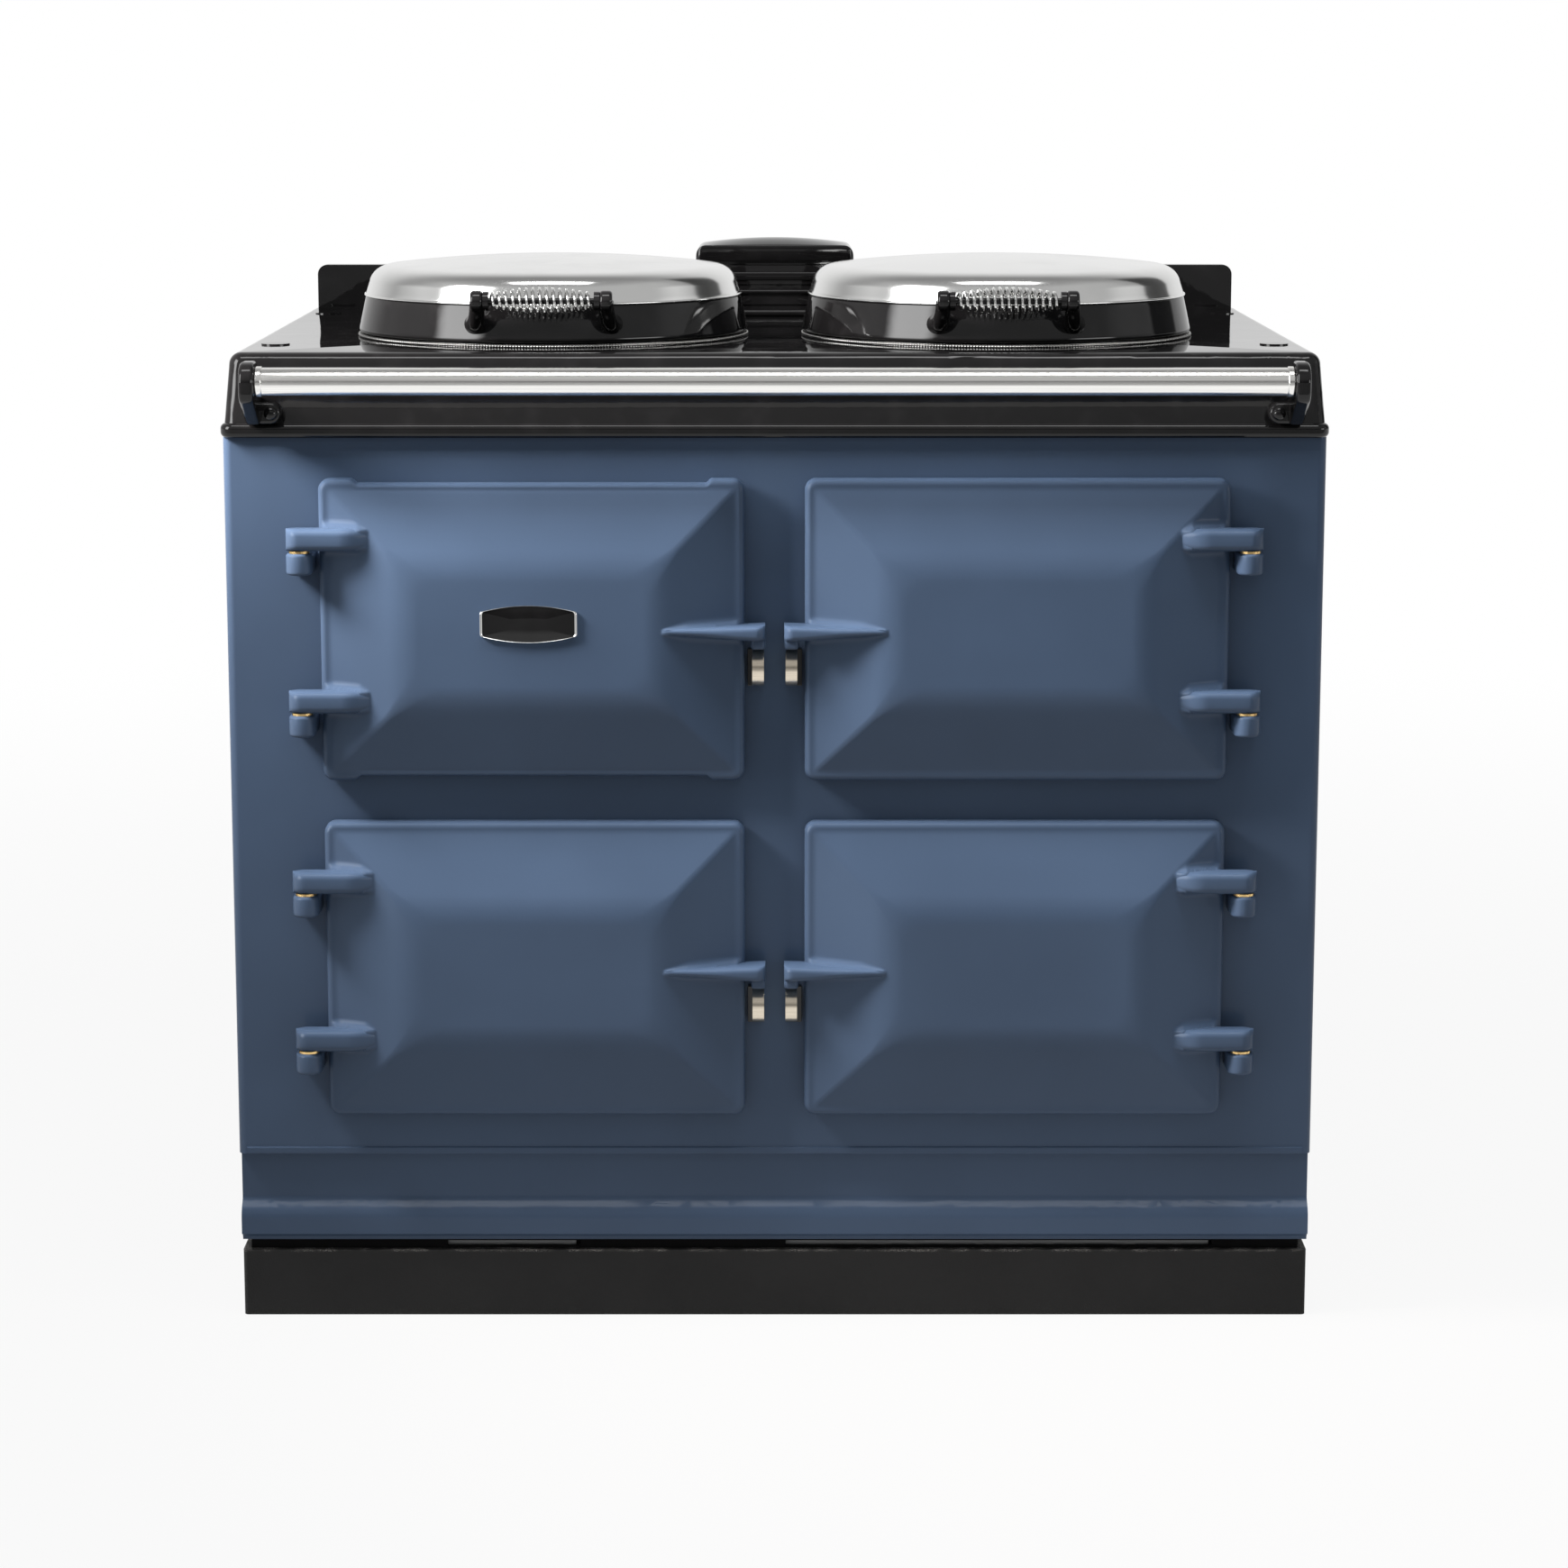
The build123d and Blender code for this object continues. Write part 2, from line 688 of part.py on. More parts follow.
# Ovens with shelf ledges, wire shelves, control compartment, heaters, insulation
def oven_shell(x, z, depth, wall):
    """A box open to the front, as wide and high inside as the door opening."""
    half_w = aperture_width / 2
    half_h = aperture_height / 2
    reach = (plate_back_y, plate_back_y + depth)
    shell = block((x - half_w - wall, x + half_w + wall), (reach[0], reach[1] + wall),
                  (z - half_h - wall, z + half_h + wall))
    return shell - aperture(x, z, reach)


def make_oven(x, z):
    shell = oven_shell(x, z, oven_depth, oven_wall)
    half_w = aperture_width / 2
    reach = (plate_back_y + ledge_end_gap, plate_back_y + oven_depth - ledge_end_gap)
    for level in ledge_levels:
        heights = (z + level - ledge_height, z + level)
        shell += block((x - half_w, x - half_w + ledge_width), reach, heights)
        shell += block((x + half_w - ledge_width, x + half_w), reach, heights)
    return shell


def make_shelf(x, z):
    """A wire grid: a square-bar frame with cross bars laid on top."""
    half_w = aperture_width / 2 - shelf_clearance
    reach = (plate_back_y + ledge_end_gap, plate_back_y + oven_depth - ledge_end_gap)
    level = z + ledge_levels[shelf_level]
    heights = (level, level + shelf_bar)
    frame = block((x - half_w, x + half_w), reach, heights)
    inner_y = (reach[0] + shelf_bar, reach[1] - shelf_bar)
    frame -= block((x - half_w + shelf_bar, x + half_w - shelf_bar), inner_y, heights)
    gap = (2 * half_w - shelf_bar) / (shelf_bars + 1)
    for bar in range(1, shelf_bars + 1):
        left = x - half_w + bar * gap
        frame += block((left, left + shelf_bar), reach, heights)
    return frame


def make_ovens():
    places = {
        "oven_roast": (door_x, door_upper_z),
        "oven_bake": (-door_x, door_lower_z),
        "oven_simmer": (door_x, door_lower_z),
    }
    heaters = []
    for name, (x, z) in places.items():
        nodes[name] = make_oven(x, z)
        roof = z + aperture_height / 2 + oven_wall
        middle = plate_back_y + oven_depth / 2
        half_x = element_plate_size[0] / 2
        half_y = element_plate_size[1] / 2
        heaters.append(block((x - half_x, x + half_x), (middle - half_y, middle + half_y),
                             (roof, roof + element_plate)))
    ring = upright(lid_x, lid_y, (ring_z - ring_height, ring_z), ring_outer)
    ring -= upright(lid_x, lid_y, (ring_z - ring_height, ring_z), ring_inner)
    nodes["heating_elements"] = heaters + both(ring)
    nodes["oven_shelves"] = [make_shelf(x, z) for x, z in places.values()]
    make_controls()
    make_insulation(places.values())


def make_controls():
    nodes["control_box"] = oven_shell(-door_x, door_upper_z, control_depth, control_wall)
    half_w = aperture_width / 2 - control_panel_fit
    half_h = aperture_height / 2 - control_panel_fit
    front = plate_back_y + control_panel_setback
    panel_y = (front, front + control_panel_thickness)
    panel = block((-door_x - half_w, -door_x + half_w), panel_y,
                  (door_upper_z - half_h, door_upper_z + half_h))
    for number in range(knob_count):
        x = -door_x + (number - (knob_count - 1) / 2) * knob_spacing
        panel -= along_y(x, panel_y, door_upper_z, spindle_radius + pin_running_clearance)
        nodes[f"knob_{number + 1}"] = make_knob(x, front)
    nodes["control_fascia"] = panel


def make_knob(x, panel_front):
    """A skirted knob with a raised pointer bar, on a spindle through the panel."""
    rear = panel_front - knob_clearance
    skirt = along_y(x, (rear - knob_skirt, rear), door_upper_z, knob_radius)
    grip = along_y(x, (rear - knob_depth, rear - knob_skirt), door_upper_z, knob_radius - knob_skirt)
    half = knob_pointer / 2
    pointer_y = (rear - knob_depth - knob_pointer, rear - knob_depth)
    pointer_z = (door_upper_z - knob_radius + knob_skirt + half, door_upper_z + knob_radius - knob_skirt - half)
    pointer = block((x - half, x + half), pointer_y, pointer_z)
    spindle = along_y(x, (rear, rear + spindle_reach), door_upper_z, spindle_radius)
    return skirt + grip + pointer + spindle


def make_insulation(ovens):
    """Lagging that fills the casing round the ovens and the control compartment."""
    half_x = panel_x - panel_thickness - insulation_gap
    reach = (plate_back_y + insulation_gap, back_panel_y - panel_thickness - insulation_gap)
    lagging = block((-half_x, half_x), reach, (tray_z, casing_top))
    half_h = aperture_height / 2
    half_w = aperture_width / 2
    oven_room = [(x, z, oven_depth, oven_wall) for x, z in ovens]
    for x, z, depth, wall in oven_room + [(-door_x, door_upper_z, control_depth, control_wall)]:
        side = wall + insulation_gap
        lagging -= block((x - half_w - side, x + half_w + side),
                         (plate_back_y, plate_back_y + depth + side),
                         (z - half_h - side, z + half_h + side + element_plate))
    lead_y = (reach[1] - gland_neck - lead_room, reach[1])
    lagging -= along_y(gland_x, lead_y, gland_z, gland_neck_radius + gland_fit)
    nodes["insulation"] = lagging


# Hand rail tube between two cheeks whose feet stand on the fascia
def make_rail():
    span = (-rail_half_length, rail_half_length)
    bore = rail_diameter / 2 - rail_wall
    tube = along_x(span, rail_y, rail_z, rail_diameter / 2) - along_x(span, rail_y, rail_z, bore)
    nodes["hand_rail"] = tube

    cheek_x = (rail_half_length, rail_half_length + cheek_thickness)
    cheek = along_x(cheek_x, rail_y, rail_z, cheek_radius)
    foot_low = lip_z + top_lip_height
    arm = make_face(Polyline(
        (rail_y - cheek_radius / 2, rail_z - cheek_radius * math.sqrt(3) / 2),
        (face_y - foot_depth, foot_low),
        (face_y + top_batter_front, foot_low),
        (face_y + top_batter_front, foot_low + foot_height),
        (rail_y + cheek_radius * math.sqrt(3) / 2, rail_z + cheek_radius / 2),
        close=True,
    ))
    cheek += side_on(arm, cheek_x)
    foot_x = (cheek_x[1] - foot_width, cheek_x[1])
    cheek += block(foot_x, (face_y - foot_depth, face_y + top_batter_front),
                   (foot_low, foot_low + foot_height))
    spigot_x = (rail_half_length - spigot_length, rail_half_length)
    cheek += along_x(spigot_x, rail_y, rail_z, bore - spigot_clearance)
    cheek -= nodes["top_plate"]
    nodes["rail_brackets"] = both(cheek)


# Hotplates, their rims, and the insulating lids over them
def make_hotplates():
    top = rim_top_z - hotplate_drop
    plate = upright(lid_x, lid_y, (ring_z, top), hotplate_radius)
    flange_z = (hob_underside - hotplate_flange_depth, hob_underside)
    plate += upright(lid_x, lid_y, flange_z, hotplate_radius + hotplate_flange)
    nodes["hotplate_left"] = other_side(plate)
    nodes["hotplate_right"] = plate

    inner = hotplate_radius + rim_fit
    ring = upright(lid_x, lid_y, (hob_height, rim_top_z), rim_outer)
    ring += upright(lid_x, lid_y, (hob_underside, hob_height), hotplate_radius + hole_clearance - rim_fit)
    ring -= upright(lid_x, lid_y, (hob_underside, rim_top_z), inner)
    nodes["hotplate_rims"] = both(ring)


def dome_outline(inset):
    """Half section of the dome, radius across and z up, moved in by inset: skirt, shoulder, crown."""
    edge = lid_base_top_radius + lid_lip - inset
    shoulder = (edge - dome_slope, dome_z + dome_side)
    brow_z = shoulder[1] + dome_shoulder_height - inset
    brow = (shoulder[0] - dome_shoulder, brow_z)
    bend = (shoulder[0] - dome_shoulder * dome_bend_in, shoulder[1] + (brow_z - shoulder[1]) * dome_bend_up)
    crest = (0, brow_z + dome_crown)
    crown_radius = (brow[0] ** 2 + dome_crown ** 2) / (2 * dome_crown)
    lean = math.asin(brow[0] / crown_radius) / 2
    rise = (crown_radius * math.sin(lean), crest[1] - crown_radius * (1 - math.cos(lean)))
    with BuildSketch() as section:
        with BuildLine():
            Line((0, dome_z), (edge, dome_z))
            Line((edge, dome_z), shoulder)
            ThreePointArc(shoulder, bend, brow)
            ThreePointArc(brow, rise, crest)
            Line(crest, (0, dome_z))
        make_face()
    return section.sketch


def lid_base():
    """Right-hand black base ring with the handle posts in front and the hinge lugs behind."""
    with BuildSketch() as section:
        with BuildLine():
            Polyline((lid_base_inner, lid_z), (lid_base_radius, lid_z), (lid_base_top_radius, dome_z),
                     (lid_base_inner, dome_z), close=True)
        make_face()
    base = turned(section.sketch, lid_x, lid_y)
    base += lid_post()
    base += Pos(2 * lid_x, 0, 0) * other_side(lid_post())
    for side in (-1, 1):
        near = lid_x + side * (lid_knuckle_width / 2 + lid_hinge_gap)
        span = tuple(sorted((near, near + side * lid_lug_width)))
        lug = along_x(span, lid_hinge_y, lid_hinge_z, lid_knuckle_radius)
        root = make_face(Polyline(
            (lid_hinge_y, lid_hinge_z + lid_knuckle_radius),
            (lid_hinge_y, lid_hinge_z - lid_knuckle_radius),
            (lid_y + lid_base_inner + post_root, lid_z),
            (lid_y + lid_base_inner + post_root, dome_z - lid_lip),
            close=True,
        ))
        lug += side_on(root, span)
        lug -= upright(lid_x, lid_y, (lid_z, grip_z), lid_base_inner)
        base += lug
        base -= along_x(span, lid_hinge_y, lid_hinge_z, pin_radius + pin_running_clearance)
    return base


def lid_post():
    """A handle post: a round head on a foot that grows out of the base ring."""
    near = post_spacing / 2
    span = (lid_x + near, lid_x + near + post_width)
    head = along_x(span, grip_y, grip_z, post_radius)
    front_y = lid_y - math.sqrt((lid_base_top_radius + lid_lip) ** 2 - near ** 2)
    foot = make_face(Polyline(
        (grip_y, grip_z + post_radius),
        (grip_y - post_radius, grip_z),
        (grip_y, grip_z - post_radius),
        (front_y, lid_z + post_root),
        (front_y + post_root, lid_z + post_root),
        (front_y + post_root, dome_z - lid_lip),
        (front_y - lid_lip, dome_z - lid_lip),
        (front_y - lid_lip, grip_z - post_radius / 2),
        close=True,
    ))
    return head + side_on(foot, span)


def grip_path():
    """The wire of the right-hand grip, as edges: a straight lead square to each collar, and between
    them a coil of half-turn biarcs whose radius swells from the ends to the middle."""
    inner = post_spacing / 2 - collar_length
    lead = 2 * wire_radius
    bend = 4 * wire_radius
    low_z = grip_z - coil_end_radius
    entry = Vector(lid_x - inner, grip_y, low_z)
    leave = Vector(lid_x + inner, grip_y, low_z)
    along = Vector(1, 0, 0)
    run = 2 * (inner - lead - bend)
    halves = 2 * coil_turns - 1
    knots = [(entry + along * lead, along)]
    for half in range(halves + 1):
        share = (half + 0.5) / (halves + 1)
        swell = coil_middle_radius - coil_end_radius
        radius = coil_end_radius + swell * math.sin(math.pi * share)
        growth = swell * math.cos(math.pi * share) / (2 * coil_turns)
        side = 1 if half % 2 == 0 else -1
        x = entry.X + lead + bend + run * half / halves
        tangent = Vector(run / (halves * math.pi), side * growth, side * radius)
        knots.append((Vector(x, grip_y + side * radius, grip_z), tangent.normalized()))
    knots.append((leave - along * lead, along))
    edges = [Edge.make_line(entry, knots[0][0])]
    for (start, start_dir), (end, end_dir) in zip(knots, knots[1:]):
        edges += biarc(start, start_dir, end, end_dir)
    edges.append(Edge.make_line(knots[-1][0], leave))
    return edges


def biarc(start, start_dir, end, end_dir):
    """Two arcs that leave start along start_dir, meet smoothly half way and arrive along end_dir."""
    chord = end - start
    total = start_dir + end_dir
    square = 4 - total.dot(total)
    cross = chord.dot(total)
    reach = (-cross + math.sqrt(cross * cross + square * chord.dot(chord))) / square
    middle = (start + start_dir * reach + end - end_dir * reach) * 0.5
    first = Edge.make_tangent_arc(start, start_dir, middle)
    return [first, Edge.make_tangent_arc(middle, first % 1, end)]


def least_gap(edges):
    """The least distance of the wire from its own other turns, measured on points along it."""
    samples = 6
    points = []
    travelled = 0.0
    for edge in edges:
        for step in range(samples):
            points.append((edge @ (step / samples), travelled + edge.length * step / samples))
        travelled += edge.length
    apart = math.pi * coil_end_radius
    gaps = [
        (p - q).length
        for i, (p, s) in enumerate(points)
        for q, t in points[i + 1:]
        if t - s > apart
    ]
    return min(gaps) - 2 * wire_radius


def grip_coil():
    edges = grip_path()
    print(f"coil grip: {coil_turns} turns, least gap between turns {least_gap(edges):.2f} mm")
    path = Wire(edges)
    section = Plane(origin=path @ 0, z_dir=path % 0) * Circle(wire_radius)
    return sweep(section, path=path)


def grip_rod():
    """The rod inside the coil, with a collar against each post."""
    span = (lid_x - post_spacing / 2, lid_x + post_spacing / 2)
    rod = along_x(span, grip_y, grip_z, rod_radius)
    rod += along_x((span[0], span[0] + collar_length), grip_y, grip_z, collar_radius)
    rod += along_x((span[1] - collar_length, span[1]), grip_y, grip_z, collar_radius)
    return rod


def make_lids():
    dome = turned(dome_outline(0), lid_x, lid_y) - turned(dome_outline(dome_thickness), lid_x, lid_y)
    liner_z = (lid_z + lid_liner_gap, lid_z + lid_liner_gap + lid_liner_height)
    pieces = {
        "base": lid_base(),
        "dome": dome,
        "liner": upright(lid_x, lid_y, liner_z, lid_base_inner - lid_liner_fit),
        "handle_rod": grip_rod(),
        "handle_coil": grip_coil(),
    }
    shift = Pos(-2 * lid_x, 0, 0)
    for kind, solid in pieces.items():
        nodes[f"lid_left_{kind}"] = shift * solid
        nodes[f"lid_right_{kind}"] = solid

    brackets = []
    for x in (-lid_x, lid_x):
        span = (x - lid_knuckle_width / 2, x + lid_knuckle_width / 2)
        knuckle = along_x(span, lid_hinge_y, lid_hinge_z, lid_knuckle_radius)
        post_y = (lid_hinge_y - lid_knuckle_radius, lid_hinge_y - lid_knuckle_radius + lid_bracket_depth)
        knuckle += block(span, post_y, (hob_height, lid_hinge_z))
        brackets.append(knuckle - along_x(span, lid_hinge_y, lid_hinge_z, pin_radius + pin_fixed_clearance))
    nodes["lid_hinge_brackets"] = brackets


def write_parts():
    os.makedirs("parts", exist_ok=True)
    for name, piece in nodes.items():
        solid = Compound(children=piece) if isinstance(piece, list) else piece
        export_step(solid, f"parts/{name}.step")


make_base()
make_carcass()
make_top()
make_rear()
make_doors()
make_hinges()
make_catches()
make_ovens()
make_rail()
make_hotplates()
make_lids()
write_parts()
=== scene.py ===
"""Looks of a heat-storage range cooker: enamelled castings, chrome lids, coil grips, a soft studio.

Laid out as an add-on. Lengths are metres, +Z is up, the front faces -Y, and the origin is on the floor
under the middle of the cooker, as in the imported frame.
"""

import json
import math

import bmesh
import bpy
import numpy as np
from bpy.props import FloatProperty, FloatVectorProperty, IntProperty, PointerProperty
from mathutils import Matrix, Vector


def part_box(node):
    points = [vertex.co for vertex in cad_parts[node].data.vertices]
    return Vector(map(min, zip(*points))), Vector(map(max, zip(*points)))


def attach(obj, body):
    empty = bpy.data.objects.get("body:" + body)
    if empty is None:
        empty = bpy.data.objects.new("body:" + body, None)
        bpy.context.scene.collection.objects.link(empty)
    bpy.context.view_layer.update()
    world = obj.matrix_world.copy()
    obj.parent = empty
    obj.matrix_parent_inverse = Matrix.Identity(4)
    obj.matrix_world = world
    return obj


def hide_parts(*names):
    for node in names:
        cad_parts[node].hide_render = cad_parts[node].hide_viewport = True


bl_info = {
    "name": "Range Cooker",
    "version": (1, 0, 0),
    "blender": (4, 5, 0),
    "location": "View3D > Sidebar > Range Cooker",
    "description": "Dresses a range cooker in enamel, chrome and cast iron",
    "category": "Object",
}

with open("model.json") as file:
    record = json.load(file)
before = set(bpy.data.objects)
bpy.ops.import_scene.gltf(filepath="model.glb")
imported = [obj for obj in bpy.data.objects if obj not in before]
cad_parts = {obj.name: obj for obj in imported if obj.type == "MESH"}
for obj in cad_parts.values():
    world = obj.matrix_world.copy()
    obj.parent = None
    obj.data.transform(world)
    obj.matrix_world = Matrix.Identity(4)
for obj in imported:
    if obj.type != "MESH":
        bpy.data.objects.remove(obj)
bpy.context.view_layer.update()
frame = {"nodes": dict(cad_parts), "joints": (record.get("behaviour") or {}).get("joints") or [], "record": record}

# Places read from the frame
JOINTS = {joint["name"]: joint for joint in frame["joints"]}
FACE_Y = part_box("door_catches")[1].y
HOB_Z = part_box("rear_upstand")[0].z

# The floor's height, and the names of the doors and knobs; a side's sign is its direction along X
FLOOR_Z = 0.0
SIDES = {"left": -1, "right": 1}
DOORS = {f"door_{row}_{side}": sign for row in ("top", "bottom") for side, sign in SIDES.items()}
VENTED_DOOR = "door_top_left"
KNOBS = [f"knob_{number}" for number in range(1, 5)]

# A full turn, and where the four quarters of an outline start, in degrees
TAU = 2 * np.pi
QUARTERS = np.array([[0], [90], [180], [270]])

# Places along a door, from its middle: where the arms and the lug leave its slope
ARM_ROOT = 0.136
ARM_NOSE = 0.034
LUG_ROOT = 0.112
LUG_CORNER = 0.008

# Radii on the hob and the lids
BEAD_RING = 0.1835
LID_BORE = 0.165


def middle(node):
    """The middle of a node's box."""
    low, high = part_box(node)
    return (low + high) / 2


def length(label, default, text):
    """A size in metres that a user may change."""
    return FloatProperty(name=label, description=text, default=default, unit="LENGTH", precision=4)


def colour(label, default, text):
    """A linear colour that a user may change."""
    return FloatVectorProperty(name=label, description=text, default=default, subtype="COLOR",
                               size=3, min=0, max=1)


class CookerSizes(bpy.types.PropertyGroup):
    """Sizes of the castings, grips and trims."""

    door_width: length("Door width", 0.380, "Width of a door's casting")
    door_rim: length("Door rim", 0.016, "Thickness of a door at its border")
    door_corner: length("Door corner", 0.010, "Radius of a door's corners, seen from the front")
    door_edge: length("Door edge", 0.0055, "Radius of a door's front edge")
    door_border: length("Door border", 0.0062, "Width of the flat border before the slope")
    plateau_rise: length("Plateau rise", 0.023, "How far the door's plateau stands in front of its border")
    plateau_start: length("Plateau start", 0.062, "Where the slope begins to level out, from the door's edge")
    plateau_end: length("Plateau end", 0.090, "Where the door is level, from its edge")
    notch_length: length("Vent notch length", 0.320, "Length of the notches in the vented door")
    notch_depth: length("Vent notch depth", 0.004, "Depth of the notches in the vented door")
    cove: length("Cove", 0.007, "Radius of the hollow where an arm or lug grows out of a door")
    arm_upper: length("Upper arm", 0.084, "Height of the upper hinge arm over the door's middle")
    arm_lower: length("Lower arm", -0.062, "Height of the lower hinge arm over the door's middle")
    arm_height: length("Arm height", 0.020, "Height of a hinge arm")
    hinge_radius: length("Hinge radius", 0.0118, "Radius of a hinge arm's barrel")
    lug_tip: length("Lug tip", 0.0135, "Height of a latch lug at its tip")
    lug_root: length("Lug root", 0.0046, "Height of a latch lug where it dies into the plateau")
    wire: length("Coil wire", 0.0030, "Thickness of the grip's wire")
    coil_turns: IntProperty(name="Coil turns", description="Turns of a grip's coil", default=15, min=3)
    beads: IntProperty(name="Rim beads", description="Beads round a hotplate", default=420, min=24)


class CookerColours(bpy.types.PropertyGroup):
    """Linear colours of the finishes."""

    enamel: colour("Enamel", (0.050, 0.080, 0.136), "Slate-blue vitreous enamel")
    black: colour("Black enamel", (0.006, 0.006, 0.0065), "Gloss black vitreous enamel")
    plinth: colour("Plinth paint", (0.009, 0.009, 0.009), "Matt black plinth paint")
    chrome: colour("Chrome", (0.86, 0.86, 0.85), "Polished chrome")
    stainless: colour("Stainless steel", (0.70, 0.69, 0.67), "Brushed stainless steel")
    nickel: colour("Nickel", (0.74, 0.66, 0.54), "Warm nickel plate")
    brass: colour("Brass", (0.78, 0.55, 0.24), "Brass washers")
    iron: colour("Cast iron", (0.075, 0.075, 0.078), "Machined cast iron")
    steel: colour("Sheet steel", (0.50, 0.51, 0.52), "Zinc-coated sheet steel")
    aluminium: colour("Aluminium", (0.76, 0.76, 0.77), "Pressed aluminium")
    rope: colour("Seal", (0.10, 0.10, 0.098), "Woven door seal")
    lagging: colour("Lagging", (0.62, 0.55, 0.36), "Mineral wool lagging")
    plastic: colour("Plastic", (0.014, 0.014, 0.015), "Moulded black plastic")


class Value:
    """A node's output. Arithmetic on it adds Math nodes."""

    def __init__(self, finish, socket):
        self.finish = finish
        self.socket = socket

    def maths(self, operation, *terms):
        """A Math node on values and numbers."""
        return self.finish.node("ShaderNodeMath", {"operation": operation}, dict(enumerate(terms)))

    def __add__(self, other):
        return self.maths("ADD", self, other)

    def __sub__(self, other):
        return self.maths("SUBTRACT", self, other)

    def __rsub__(self, other):
        return self.maths("SUBTRACT", other, self)

    def __mul__(self, other):
        return self.maths("MULTIPLY", self, other)

    __radd__ = __add__
    __rmul__ = __mul__

    def size(self):
        """The value without its sign."""
        return self.maths("ABSOLUTE", self)

    def wave(self):
        """The sine of the value."""
        return self.maths("SINE", self)

    def root(self):
        """The square root of the value."""
        return self.maths("SQRT", self)

    def ramp(self, low, high, smooth=True):
        """0 below low, 1 above high, and an even or eased step between them."""
        kind = "SMOOTHSTEP" if smooth else "LINEAR"
        sockets = {"Value": self, "From Min": low, "From Max": high, "To Min": 0.0, "To Max": 1.0}
        return self.finish.node("ShaderNodeMapRange", {"interpolation_type": kind}, sockets)


class Finish:
    """A node tree being built: a material, or the world."""

    def __init__(self, owner):
        owner.use_nodes = True
        self.owner = owner
        self.tree = owner.node_tree
        self.tree.nodes.clear()

    def node(self, kind, settings=None, sockets=None, output=0):
        """Adds a node, sets its settings, then its sockets by name or place, and gives one output."""
        node = self.tree.nodes.new(kind)
        for key, value in (settings or {}).items():
            setattr(node, key, value)
        for key, value in (sockets or {}).items():
            if isinstance(value, Value):
                self.tree.links.new(value.socket, node.inputs[key])
            else:
                node.inputs[key].default_value = value
        return Value(self, node.outputs[output]) if node.outputs else None

    def place(self, scale=(1, 1, 1)):
        """Object coordinates, stretched by scale."""
        spot = self.node("ShaderNodeTexCoord", output="Object")
        return self.node("ShaderNodeMapping", sockets={"Vector": spot, "Scale": scale})

    def axes(self):
        """Object coordinates as three values."""
        spot = self.node("ShaderNodeTexCoord", output="Object")
        split = self.node("ShaderNodeSeparateXYZ", sockets={"Vector": spot}).socket.node
        return [Value(self, split.outputs[i]) for i in range(3)]

    def noise(self, scale, stretch=(1, 1, 1), detail=2.0, roughness=0.5):
        """Soft noise between about 0 and 1, with scale patches to the metre."""
        sockets = {"Vector": self.place(stretch), "Scale": scale, "Detail": detail, "Roughness": roughness}
        return self.node("ShaderNodeTexNoise", sockets=sockets)

    def cells(self, scale, output="Distance"):
        """Distance to, or colour of, the nearest of scale cells to the metre."""
        sockets = {"Vector": self.place(), "Scale": scale}
        return self.node("ShaderNodeTexVoronoi", sockets=sockets, output=output)

    def mix(self, share, first, second):
        """A colour between two colours."""
        settings = {"data_type": "RGBA"}
        return self.node("ShaderNodeMix", settings, {0: share, 6: first, 7: second}, 2)

    def bump(self, height, depth, strength=1.0):
        """A normal from heights between 0 and 1 that are depth metres apart."""
        sockets = {"Height": height, "Distance": depth, "Strength": strength}
        return self.node("ShaderNodeBump", sockets=sockets)

    def surface(self, **sockets):
        """The shader, from values for its sockets; spaces in their names are written as _."""
        named = {key.replace("_", " "): value for key, value in sockets.items()}
        shader = self.node("ShaderNodeBsdfPrincipled", sockets=named)
        self.node("ShaderNodeOutputMaterial", sockets={"Surface": shader})
        return self.owner


def material(name):
    """An empty node tree for a new material."""
    return Finish(bpy.data.materials.new(name))


def tint(shade, factor):
    """A colour made lighter or darker, as a socket wants it."""
    return tuple(min(1.0, part * factor) for part in shade) + (1.0,)


def enamel_finish(shade):
    """Blue vitreous enamel: clouded glaze, fine orange peel, a clear glossy coat."""
    f = material("blue_enamel")
    cloud = f.noise(5.0, detail=3.0)
    base = f.mix(cloud.ramp(0.3, 0.7), tint(shade, 0.93), tint(shade, 1.07))
    peel = f.noise(240.0, detail=1.0)
    flow = f.noise(22.0, detail=1.0)
    normal = f.bump(peel * 0.25 + flow * 0.75, 0.0006, 0.35)
    rough = 0.30 + f.noise(60.0) * 0.10
    return f.surface(Base_Color=base, Roughness=rough, Normal=normal, Coat_Weight=0.12,
                     Coat_Roughness=0.08, Specular_IOR_Level=0.14)


def black_finish(shade):
    """Black vitreous enamel: a mirror gloss that ripples a little."""
    f = material("black_enamel")
    ripple = f.noise(14.0, detail=1.0) * 0.8 + f.noise(90.0, detail=1.0) * 0.2
    dust = f.noise(35.0, detail=4.0).ramp(0.45, 0.75)
    base = f.mix(dust, tint(shade, 0.5), tint(shade, 0.9))
    return f.surface(Base_Color=base, Roughness=0.035 + dust * 0.03, Normal=f.bump(ripple, 0.0012, 0.20),
                     Specular_IOR_Level=0.4)


def painted_shade_finish(shade):
    """Dead black paint, darker than the black enamel: painted shade for the recessed base tray, which lies in
    shadow.
    """
    f = material("painted_shade")
    cloud = f.noise(30.0, detail=3.0)
    # Painted shade: the black is cut to between a quarter and three fifths of its colour, in clouds
    base = f.mix(cloud, tint(shade, 0.25), tint(shade, 0.6))
    return f.surface(Base_Color=base, Roughness=0.75, Specular_IOR_Level=0.05)


